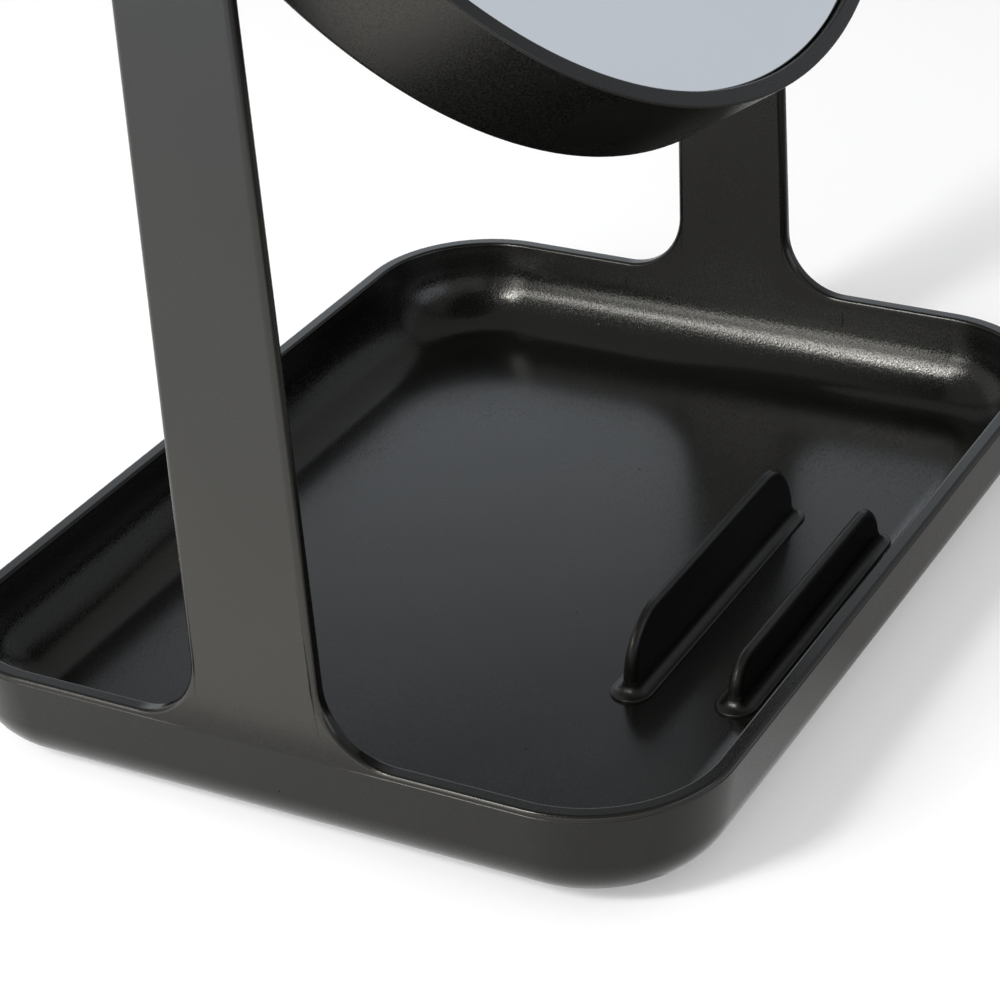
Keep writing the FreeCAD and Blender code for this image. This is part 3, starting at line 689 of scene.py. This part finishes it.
def mixColour(tree, share, first, second):
    node = tree.nodes.new("ShaderNodeMix")
    node.data_type = "RGBA"
    tree.links.new(share, node.inputs["Factor"])
    colours = [socket for socket in node.inputs if socket.type == "RGBA"]
    for socket, colour in zip(colours, (first, second)):
        if isinstance(colour, tuple):
            socket.default_value = (*colour, 1.0)
        else:
            tree.links.new(colour, socket)
    return next(socket for socket in node.outputs if socket.type == "RGBA")


def maths(tree, operation, first, second):
    node = tree.nodes.new("ShaderNodeMath")
    node.operation = operation
    for socket, value in zip(node.inputs, (first, second)):
        if isinstance(value, float):
            socket.default_value = value
        else:
            tree.links.new(value, socket)
    return node.outputs[0]


def bump(tree, height, depth, under=None):
    # depth is the relief in mm between a height of 0 and a height of 1
    node = tree.nodes.new("ShaderNodeBump")
    node.inputs["Strength"].default_value = 1.0
    node.inputs["Distance"].default_value = depth * mm
    tree.links.new(height, node.inputs["Height"])
    if under:
        tree.links.new(under, node.inputs["Normal"])
    return node.outputs[0]


def attribute(tree, name):
    node = tree.nodes.new("ShaderNodeAttribute")
    node.attribute_name = name
    return node.outputs["Fac"]


def specks(tree, place, look):
    # one speck in some of the cells: a few are dust and the rest are pits
    cells = tree.nodes.new("ShaderNodeTexVoronoi")
    cells.inputs["Scale"].default_value = 1.0 / (look["speckSpacing"] * mm)
    tree.links.new(place, cells.inputs["Vector"])
    size, core = look["speckSize"], look["speckSize"] * look["speckCore"]
    near = spread(tree, cells.outputs["Distance"], 1.0, 0.0, core, size)
    chosen = tree.nodes.new("ShaderNodeSeparateColor")
    tree.links.new(cells.outputs["Color"], chosen.inputs[0])
    some = maths(tree, "GREATER_THAN", chosen.outputs[0], 1.0 - look["speckShare"])
    speck = maths(tree, "MULTIPLY", near, some)
    pit = maths(tree, "MULTIPLY", speck, maths(tree, "GREATER_THAN", chosen.outputs[1], look["dustShare"]))
    return speck, pit, maths(tree, "SUBTRACT", speck, pit)


def mouldedPlastic(name, look):
    # spark-eroded grain, a slow waviness from the moulding, faint flow marks, dust and pits
    material, tree, shader, place = newMaterial(name)
    grain = noise(tree, place, look["grain"], detail=2.5, roughness=0.6)
    wave = noise(tree, place, look["wave"], detail=1.0)
    flow = noise(tree, place, look["flow"], detail=3.0)
    speck, pit, dust = specks(tree, place, look)
    colour = mixColour(tree, spread(tree, flow, 0.0, 1.0), look["dark"], look["light"])
    # the skin says where it is smoother than the walls inside the tray, and where it is more matte and
    # painted lighter in place of soft reflected light
    polish, matteAndPaintedLight = attribute(tree, "polish"), attribute(tree, "matteAndPaintedLight")
    # painted light: the matte faces get a lighter colour in place of the soft light they reflect
    colour = mixColour(tree, matteAndPaintedLight, colour, look["paintedLightColour"])
    tree.links.new(mixColour(tree, dust, colour, look["dustColour"]), shader.inputs["Base Color"])
    hollows = noise(tree, place, look["hollows"], detail=1.0)
    rough = spread(tree, hollows, *look["rough"], *look["hollowRange"])
    even = maths(tree, "SUBTRACT", rough, look["polishedRough"])
    even = maths(tree, "MULTIPLY", even, spread(tree, polish, 1.0, look["polishedRange"], 0.0, 1.0))
    rough = maths(tree, "ADD", even, look["polishedRough"])
    rough = maths(tree, "ADD", rough, spread(tree, matteAndPaintedLight, 0.0, look["matteRough"], 0.0, 1.0))
    rough = maths(tree, "ADD", rough, spread(tree, flow, 0.0, look["worn"]))
    rough = maths(tree, "ADD", rough, maths(tree, "MULTIPLY", speck, look["speckRough"]))
    tree.links.new(rough, shader.inputs["Roughness"])
    slow = bump(tree, wave, look["waveDepth"])
    fine = bump(tree, grain, look["grainDepth"], under=slow)
    fade = spread(tree, polish, 1.0, look["polishedGrain"], 0.0, 1.0)
    tree.links.new(fade, fine.node.inputs["Strength"])
    tree.links.new(fine, shader.inputs["Normal"])
    shine = spread(tree, matteAndPaintedLight, look["specular"], look["matteSpecular"], 0.0, 1.0)
    shine = maths(tree, "MULTIPLY", shine, spread(tree, pit, 1.0, 0.0, 0.0, 1.0))
    tree.links.new(shine, shader.inputs["Specular IOR Level"])
    shader.inputs["Specular Tint"].default_value = (*look["sheen"], 1.0)
    shader.inputs["IOR"].default_value = look["ior"]
    return material


trayLook = {
    "dark": (0.0038, 0.0037, 0.0034),
    "light": (0.0050, 0.0048, 0.0044),
    "rough": (0.11, 0.36),
    "worn": 0.03,  # roughness that the flow marks add
    "hollows": 0.34,  # size of the patches between the smooth and the rough
    "hollowRange": (0.46, 0.66),
    "polishedRough": 0.19,
    "polishedRange": 0.4,  # share of the change in roughness that the polished skin keeps
    "polishedGrain": 0.1,  # and of the grain's depth
    "matteRough": 0.15,  # roughness that the matte faces add
    # painted light: the lighter colour of the matte faces, in place of reflected light
    "paintedLightColour": (0.0125, 0.0122, 0.0116),
    "specular": 0.5,
    "matteSpecular": 0.25,
    "sheen": (1.0, 0.985, 0.91),
    "ior": 1.365,
    "grain": 0.52,
    "grainDepth": 0.052,
    "wave": 38.0,
    "waveDepth": 0.05,
    "flow": 22.0,
    "speckSpacing": 7.0,
    "speckSize": 0.035,  # share of the spacing
    "speckCore": 0.6,  # share of the speck inside its soft edge
    "speckShare": 0.5,  # share of the cells that have one
    "speckRough": 0.25,
    "dustShare": 0.4,  # share of the specks that are dust
    "dustColour": (0.16, 0.155, 0.15),
}
# the fins and the bosses are smoother than the walls
finLook = {**trayLook, "rough": (0.30, 0.46), "grainDepth": 0.012, "speckShare": 0.2}
frameLook = {**trayLook, "rough": (0.26, 0.42), "grainDepth": 0.012, "speckShare": 0.2}
coverLook = {**trayLook, "rough": (0.22, 0.44), "grainDepth": 0.04, "speckShare": 0.2}
capLook = {**trayLook, "grainDepth": 0.012, "speckShare": 0.0}


def mirrorFinish(name, look):
    # silvered float glass: a very slow waviness and a trace of haze
    material, tree, shader, place = newMaterial(name)
    shader.inputs["Metallic"].default_value = 1.0
    haze = noise(tree, place, look["haze"], detail=4.0)
    colour = mixColour(tree, spread(tree, haze, 0.0, 1.0), look["tint"], look["tintHazed"])
    tree.links.new(colour, shader.inputs["Base Color"])
    tree.links.new(spread(tree, haze, *look["rough"]), shader.inputs["Roughness"])
    wave = noise(tree, place, look["wave"], detail=0.0)
    tree.links.new(bump(tree, wave, look["waveDepth"]), shader.inputs["Normal"])
    return material


mirrorLook = {
    "tint": (0.86, 0.88, 0.885),
    "tintHazed": (0.84, 0.865, 0.87),
    "rough": (0.0, 0.03),
    "haze": 30.0,
    "wave": 70.0,
    "waveDepth": 0.004,
}


def softFinish(name, look):
    # rubber, nylon and foam: an even matt colour broken by a fine grain
    material, tree, shader, place = newMaterial(name)
    grain = noise(tree, place, look["grain"], detail=3.0, roughness=0.6)
    cloud = noise(tree, place, look["cloud"], detail=2.0)
    colour = mixColour(tree, spread(tree, cloud, 0.0, 1.0), look["dark"], look["light"])
    tree.links.new(colour, shader.inputs["Base Color"])
    tree.links.new(spread(tree, grain, *look["rough"]), shader.inputs["Roughness"])
    tree.links.new(bump(tree, grain, look["grainDepth"]), shader.inputs["Normal"])
    return material


rubberLook = {
    "dark": (0.022, 0.022, 0.023),
    "light": (0.032, 0.031, 0.031),
    "rough": (0.55, 0.75),
    "grain": 0.5,
    "grainDepth": 0.02,
    "cloud": 6.0,
}
nylonLook = {
    "dark": (0.012, 0.012, 0.012),
    "light": (0.017, 0.017, 0.016),
    "rough": (0.36, 0.46),
    "grain": 0.5,
    "grainDepth": 0.006,
    "cloud": 6.0,
}
foamLook = {
    "dark": (0.62, 0.62, 0.60),
    "light": (0.72, 0.72, 0.69),
    "rough": (0.8, 0.95),
    "grain": 0.3,
    "grainDepth": 0.05,
    "cloud": 3.6,
}


def turnedMetal(name, look):
    # lathe rings round the pivot axis, with a little stain
    material, tree, shader, place = newMaterial(name)
    shader.inputs["Metallic"].default_value = 1.0
    rings = tree.nodes.new("ShaderNodeTexWave")
    rings.wave_type = "RINGS"
    rings.rings_direction = "X"
    rings.inputs["Scale"].default_value = 1.0 / (look["ring"] * mm)
    rings.inputs["Distortion"].default_value = look["ringBend"]
    centred = tree.nodes.new("ShaderNodeMapping")
    centred.inputs["Location"].default_value = (0.0, 0.0, -uprightPlan["pivot"] * mm)
    tree.links.new(place, centred.inputs["Vector"])
    tree.links.new(centred.outputs[0], rings.inputs["Vector"])
    stain = noise(tree, place, look["stain"], detail=4.0)
    colour = mixColour(tree, spread(tree, stain, 0.0, 1.0), look["dark"], look["light"])
    tree.links.new(colour, shader.inputs["Base Color"])
    tree.links.new(spread(tree, stain, *look["rough"]), shader.inputs["Roughness"])
    tree.links.new(bump(tree, rings.outputs["Fac"], look["ringDepth"]), shader.inputs["Normal"])
    return material


brassLook = {
    "dark": (0.66, 0.47, 0.20),
    "light": (0.78, 0.60, 0.30),
    "rough": (0.22, 0.34),
    "ring": 0.35,
    "ringDepth": 0.004,
    "ringBend": 1.5,
    "stain": 3.0,
}
steelLook = {
    "dark": (0.50, 0.50, 0.52),
    "light": (0.64, 0.65, 0.67),
    "rough": (0.22, 0.36),
    "ring": 0.30,
    "ringDepth": 0.003,
    "ringBend": 1.5,
    "stain": 3.0,
}

trayPlastic = mouldedPlastic("trayPlastic", trayLook)
finPlastic = mouldedPlastic("finPlastic", finLook)
framePlastic = mouldedPlastic("framePlastic", frameLook)
coverPlastic = mouldedPlastic("coverPlastic", coverLook)
capPlastic = mouldedPlastic("capPlastic", capLook)
mirrorSilver = mirrorFinish("mirrorSilver", mirrorLook)
footRubber = softFinish("footRubber", rubberLook)
bushNylon = softFinish("bushNylon", nylonLook)
foamTape = softFinish("foamTape", foamLook)
insertBrass = turnedMetal("insertBrass", brassLook)
pivotSteel = turnedMetal("pivotSteel", steelLook)
print("finishes made")


def finishPiece(piece, body, slot, material, *replaced):
    piece.data.materials.clear()
    piece.data.materials.append(material)
    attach(piece, body)
    if replaced:
        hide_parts(*replaced)


trayBody = makeObject("trayBody", makeTraySkin())
finishPiece(trayBody, "base", "tray_plastic", trayPlastic, "tray_base")
for name, key in (("finRear", "rear"), ("finFront", "front")):
    fin = smoothWeighted(makeFin(name, slotFins[key]))
    finishPiece(fin, "base", "tray_plastic", finPlastic)
finishPiece(makeWitnessMarks(), "base", "tray_plastic", trayPlastic)
print("tray made")

# The mirror is drawn with its face up, at heights from the pivot axis, and laid back onto the pivots.
mirrorTilt = 32.5  # degrees that the glass leans back from upright
onPivots = Matrix.Translation((0.0, 0.0, uprightPlan["pivot"] * mm))
laidBack = onPivots @ Matrix.Rotation(math.radians(90.0 - mirrorTilt), 4, "X")


def outwards(side):
    # turns a profile about Z into one about the pivot axis; side is -1 for the left and 1 for the right
    return onPivots @ Matrix.Rotation(math.radians(90.0 * side), 4, "Y")


ringPlan = {
    "radius": 92.2,
    "opening": 89.3,
    "cavity": 89.8,
    "front": 10.9,
    "back": -10.1,
    "webFront": 5.7,
    "webBack": 3.7,
    "lipRound": 0.45,
    "lipInnerRound": 0.35,
    "backRound": 1.1,
    "backInnerRound": 0.3,
}
ringProfile = roundedProfile([
    (0.0, ringPlan["webFront"], 0.0),
    (ringPlan["opening"], ringPlan["webFront"], 0.0),
    (ringPlan["opening"], ringPlan["front"], ringPlan["lipInnerRound"]),
    (ringPlan["radius"], ringPlan["front"], ringPlan["lipRound"]),
    (ringPlan["radius"], ringPlan["back"], ringPlan["backRound"]),
    (ringPlan["cavity"], ringPlan["back"], ringPlan["backInnerRound"]),
    (ringPlan["cavity"], ringPlan["webBack"], 0.0),
    (0.0, ringPlan["webBack"], 0.0),
])
mirrorRing = lathe("mirrorRing", ringProfile, framePlastic, latheSteps["disc"], place=laidBack)
finishPiece(smoothWeighted(mirrorRing), "mirror", "frame_plastic", framePlastic, "mirror_frame")

glassPlan = {"radius": 89.15, "front": 9.5, "back": 6.5, "edge": 0.4}
glassProfile = roundedProfile([
    (0.0, glassPlan["back"], 0.0),
    (glassPlan["radius"], glassPlan["back"], glassPlan["edge"]),
    (glassPlan["radius"], glassPlan["front"], glassPlan["edge"]),
    (0.0, glassPlan["front"], 0.0),
])
mirrorDisc = lathe("mirrorDisc", glassProfile, mirrorSilver, latheSteps["disc"], place=laidBack)
finishPiece(smoothWeighted(mirrorDisc), "mirror", "mirror_glass", mirrorSilver, "mirror_glass")

coverPlan = {"radius": 89.65, "front": -7.4, "back": -9.6, "round": 0.6}
coverProfile = roundedProfile([
    (0.0, coverPlan["back"], 0.0),
    (coverPlan["radius"], coverPlan["back"], coverPlan["round"]),
    (coverPlan["radius"], coverPlan["front"], 0.0),
    (0.0, coverPlan["front"], 0.0),
])
coverDisc = lathe("coverDisc", coverProfile, coverPlastic, latheSteps["disc"], place=laidBack)
finishPiece(smoothWeighted(coverDisc), "mirror", "cover_plastic", coverPlastic, "back_cover")
print("mirror made")

# The pivots: a pad on the mirror's ring, a boss on the upright and a cap over the screw on each side.
# Inner and outer faces are at distances from the middle of the tray.
padPlan = {"radius": 7.5, "inner": 90.2, "outer": 92.37, "round": 0.12}
bossPlan = {"radius": 8.5, "inner": 93.42, "outer": 96.92, "round": 0.25}
capPlan = {"radius": 6.45, "inner": 96.97, "outer": 102.92, "footRound": 0.15, "round": 1.0, "wall": 1.9}

padProfile = roundedProfile([
    (0.0, padPlan["inner"], 0.0),
    (padPlan["radius"], padPlan["inner"], 0.0),
    (padPlan["radius"], padPlan["outer"], padPlan["round"]),
    (0.0, padPlan["outer"], 0.0),
])
bossProfile = roundedProfile([
    (0.0, bossPlan["inner"], 0.0),
    (bossPlan["radius"], bossPlan["inner"], bossPlan["round"]),
    (bossPlan["radius"], bossPlan["outer"], bossPlan["round"]),
    (0.0, bossPlan["outer"], 0.0),
])
capHollow = (capPlan["radius"] - capPlan["wall"], capPlan["outer"] - capPlan["wall"])
capProfile = roundedProfile([
    (capHollow[0], capPlan["inner"], 0.0),
    (capPlan["radius"], capPlan["inner"], capPlan["footRound"]),
    (capPlan["radius"], capPlan["outer"], capPlan["round"]),
    (0.0, capPlan["outer"], 0.0),
]) + [(0.0, capHollow[1]), capHollow, (capHollow[0], capPlan["inner"])]

for side, label in ((-1, "Left"), (1, "Right")):
    for name, profile, body, slot, material, replaced in (
        ("pivotPad", padProfile, "mirror", "frame_plastic", framePlastic, ()),
        ("pivotBoss", bossProfile, "base", "tray_plastic", finPlastic, ()),
        ("screwCap", capProfile, "mirror", "cap_plastic", capPlastic, ("screw_cap_" + label.lower(),)),
    ):
        piece = lathe(name + label, profile, material, latheSteps["pivot"], place=outwards(side))
        finishPiece(smoothWeighted(piece), body, slot, material, *replaced)
print("pivots made")

footPlan = {"radius": 6.0, "height": 2.0, "round": 0.45, "across": 144.0, "along": 102.0}
footProfile = roundedProfile([
    (0.0, 0.0, 0.0),
    (footPlan["radius"], 0.0, footPlan["round"]),
    (footPlan["radius"], footPlan["height"], 0.0),
    (0.0, footPlan["height"], 0.0),
])
footCorners = (footPlan["across"], footPlan["along"])
feet = lathe("feet", footProfile, footRubber, latheSteps["foot"], corners=footCorners)
finishPiece(
    smoothWeighted(feet), "base", "foot_rubber", footRubber,
    "foot_front_left", "foot_front_right", "foot_rear_left", "foot_rear_right",
)

# The nodes that keep their own meshes, inside the pivots and behind the glass.
keptNodes = {
    "pivot_bush": bushNylon,
    "pivot_insert": insertBrass,
    "pivot_screw": pivotSteel,
    "spring_washer": pivotSteel,
    "flat_washer": pivotSteel,
    "glass_tape": foamTape,
}
for nodeName, node in nodes.items():
    for start, material in keptNodes.items():
        if nodeName.startswith(start):
            node.data.materials.clear()
            node.data.materials.append(material)
print("feet made and nodes dressed")

# The stage is in metres: a paper floor, a soft box, cards that only reflections see, and the camera.
studio = {
    "floorHalf": 6.0,
    "floorSquares": 24,
    "floorWhite": 0.72,
    "cloudSize": 220.0,  # mm
    "cloudShade": 0.985,
    "floorRough": 0.9,
    "floorSpecular": 0.2,
    "floorLift": 0.31,  # glow that brings the floor to white, unseen by diffuse rays
    "worldFill": 0.62,
}
# the soft box stands on the left and is brightest along its top
softBox = {
    "across": -0.55,
    "strips": (
        {"along": (0.14, 0.42), "height": (0.02, 0.14), "glow": 8.5},
        {"along": (0.14, 0.26), "height": (0.14, 0.30), "glow": 5.0},
        {"along": (0.14, 0.42), "height": (0.30, 0.43), "glow": 19.0},
        {"along": (0.12, 0.26), "height": (0.43, 0.60), "glow": 52.0},
    ),
}
# each card has its centre, the side that it faces, its size and its colour at the foot and at the top;
# level is the share of its height over which it keeps the foot's colour
cards = {
    "mirrorCard": {
        "centre": (0.68, -0.565, 0.35), "faces": (-0.68, 0.565, 0.0), "size": (1.1, 0.62),
        "foot": (0.575, 0.603, 0.653), "top": (0.575, 0.603, 0.653),
    },
    "frontCard": {
        "centre": (0.0, -0.70, 0.18), "faces": (0.0, 1.0, 0.0), "size": (0.5, 0.34),
        "foot": (2.4, 2.5, 2.9), "top": (2.4, 2.5, 2.9),
    },
    "backCard": {
        "centre": (1.35, 0.78, 0.845), "faces": (-1.35, -0.78, 0.0), "size": (2.4, 0.80),
        "foot": (1.68, 1.82, 1.98), "top": (0.17, 0.18, 0.20),
    },
    # painted light: a bright sheet on the floor at the left, seen only in reflections, stands in for the
    # pool of soft-box light on the floor there
    "paintedLightPool": {
        "centre": (-0.40, 0.10, 0.004), "faces": (0.001, 0.0, 1.0), "size": (0.8, 0.56),
        "foot": (2.55, 2.5, 2.42), "top": (2.35, 2.6, 3.1),
    },
    # painted shadow: a dark sheet on the floor in front of the tray, seen only in reflections, stands in
    # for the floor's shade there and stays dark over most of its length
    "paintedShadowBoard": {
        "centre": (0.27, -0.316, 0.0015), "faces": (0.001, 0.0, 1.0), "size": (0.5, 0.72),
        "foot": (0.33, 0.325, 0.32), "top": (0.95, 0.95, 0.95), "level": 0.88,
    },
    "canopy": {
        "centre": (0.2, 0.0, 1.25), "faces": (0.001, 0.0, -1.0), "size": (4.2, 4.2),
        "foot": (0.52, 0.52, 0.53), "top": (0.41, 0.41, 0.42),
    },
}


def facing(centre, target):
    # a frame at centre whose -Z looks at target
    forward = (Vector(target) - Vector(centre)).normalized()
    turn = forward.to_track_quat("-Z", "Y")
    return Matrix.Translation(centre) @ turn.to_matrix().to_4x4()


def unlitRays(tree):
    # 1 for the rays that see a background: straight from the camera, in a reflection or through glass
    path = tree.nodes.new("ShaderNodeLightPath")
    seen = maths(tree, "MAXIMUM", path.outputs["Is Camera Ray"], path.outputs["Is Glossy Ray"])
    return maths(tree, "MAXIMUM", seen, path.outputs["Is Transmission Ray"])


def makeFloor():
    half, count = studio["floorHalf"], studio["floorSquares"]
    points = [(x, y, 0.0) for y in sweep(count, -half, half) for x in sweep(count, -half, half)]
    across = count + 1
    corners = [row * across + column for row in range(count) for column in range(count)]
    squares = [(here, here + 1, here + across + 1, here + across) for here in corners]
    mesh = makeMesh("floor", points, squares)
    floor = makeObject("floor", mesh)
    material, tree, shader, place = newMaterial("floorPaper")
    cloud = noise(tree, place, studio["cloudSize"], detail=2.0)
    white = studio["floorWhite"]
    shaded = white * studio["cloudShade"]
    colour = mixColour(tree, spread(tree, cloud, 0.0, 1.0), (white, white, white), (shaded, shaded, shaded))
    tree.links.new(colour, shader.inputs["Base Color"])
    shader.inputs["Roughness"].default_value = studio["floorRough"]
    shader.inputs["Specular IOR Level"].default_value = studio["floorSpecular"]
    lift = maths(tree, "MULTIPLY", unlitRays(tree), studio["floorLift"])
    tree.links.new(lift, shader.inputs["Emission Strength"])
    shader.inputs["Emission Color"].default_value = (1.0, 1.0, 1.0, 1.0)
    mesh.materials.append(material)


def makeWorld():
    world = bpy.data.worlds.new("studio")
    bpy.context.scene.world = world
    world.use_nodes = True
    tree = world.node_tree
    background = next(node for node in tree.nodes if node.type == "BACKGROUND")
    background.inputs["Color"].default_value = (1.0, 1.0, 1.0, 1.0)
    strength = spread(tree, unlitRays(tree), studio["worldFill"], 1.0, 0.0, 1.0)
    tree.links.new(strength, background.inputs["Strength"])


def makeSoftBox():
    for number, strip in enumerate(softBox["strips"]):
        (near, far), (low, high) = strip["along"], strip["height"]
        lamp = bpy.data.lights.new(f"softBox{number}", "AREA")
        lamp.shape = "RECTANGLE"
        lamp.size, lamp.size_y = far - near, high - low
        lamp.energy = strip["glow"] * lamp.size * lamp.size_y * math.pi
        centre = Vector((softBox["across"], (near + far) / 2, (low + high) / 2))
        light = bpy.data.objects.new(f"softBox{number}", lamp)
        bpy.context.scene.collection.objects.link(light)
        light.matrix_world = facing(centre, centre + Vector((1.0, 0.0, 0.0)))
        light.visible_camera = False


def makeCard(name, plan):
    # a flat card with its own map, which runs up it from the foot to the top
    across, rise = plan["size"][0] / 2, plan["size"][1] / 2
    corners = [(-across, -rise, 0.0), (across, -rise, 0.0), (across, rise, 0.0), (-across, rise, 0.0)]
    mesh = makeMesh(name, corners, [(0, 1, 2, 3)])
    layer = mesh.uv_layers.new(name="card")
    for loop, place in zip(layer.data, ((0.0, 0.0), (1.0, 0.0), (1.0, 1.0), (0.0, 1.0))):
        loop.uv = place
    centre = Vector(plan["centre"])
    mesh.transform(facing(centre, centre + Vector(plan["faces"])))
    card = makeObject(name, mesh)
    card.visible_camera = False
    card.visible_shadow = False
    card.visible_diffuse = False

    material = bpy.data.materials.new(name + "Glow")
    material.use_nodes = True
    tree = material.node_tree
    tree.nodes.clear()
    glow = tree.nodes.new("ShaderNodeEmission")
    output = tree.nodes.new("ShaderNodeOutputMaterial")
    tree.links.new(glow.outputs[0], output.inputs[0])
    parts = tree.nodes.new("ShaderNodeSeparateXYZ")
    tree.links.new(tree.nodes.new("ShaderNodeTexCoord").outputs["UV"], parts.inputs[0])
    share = spread(tree, parts.outputs["Y"], 0.0, 1.0, plan.get("level", 0.0), 1.0)
    tree.links.new(mixColour(tree, share, plan["foot"], plan["top"]), glow.inputs["Color"])
    mesh.materials.append(material)


cameraPlan = {
    "azimuth": -59.954,  # degrees; 0 looks along +Y
    "elevation": 29.327,
    "roll": -3.842,
    "lens": 110.93,
    "sensor": 36.0,
    "clip": (0.01, 50.0),
    "place": (-0.43945, -0.24778, 0.30043),
}


def makeCamera():
    turn, lift = math.radians(cameraPlan["azimuth"]), math.radians(cameraPlan["elevation"])
    roll = math.radians(cameraPlan["roll"])
    back = Vector((math.sin(turn) * math.cos(lift), -math.cos(turn) * math.cos(lift), math.sin(lift)))
    right = (-back).cross(Vector((0.0, 0.0, 1.0))).normalized()
    up = right.cross(-back)
    across = math.cos(roll) * right + math.sin(roll) * up
    upwards = -math.sin(roll) * right + math.cos(roll) * up
    lens = bpy.data.cameras.new("camera")
    lens.lens = cameraPlan["lens"]
    lens.sensor_width = cameraPlan["sensor"]
    lens.clip_start, lens.clip_end = cameraPlan["clip"]
    camera = bpy.data.objects.new("camera", lens)
    bpy.context.scene.collection.objects.link(camera)
    turned = Matrix((across, upwards, back)).transposed().to_4x4()
    camera.matrix_world = Matrix.Translation(cameraPlan["place"]) @ turned
    bpy.context.scene.camera = camera


makeFloor()
makeWorld()
makeSoftBox()
for name, plan in cards.items():
    makeCard(name, plan)
makeCamera()
bpy.context.scene.view_settings.view_transform = "Standard"
bpy.context.view_layer.update()
print("stage set")
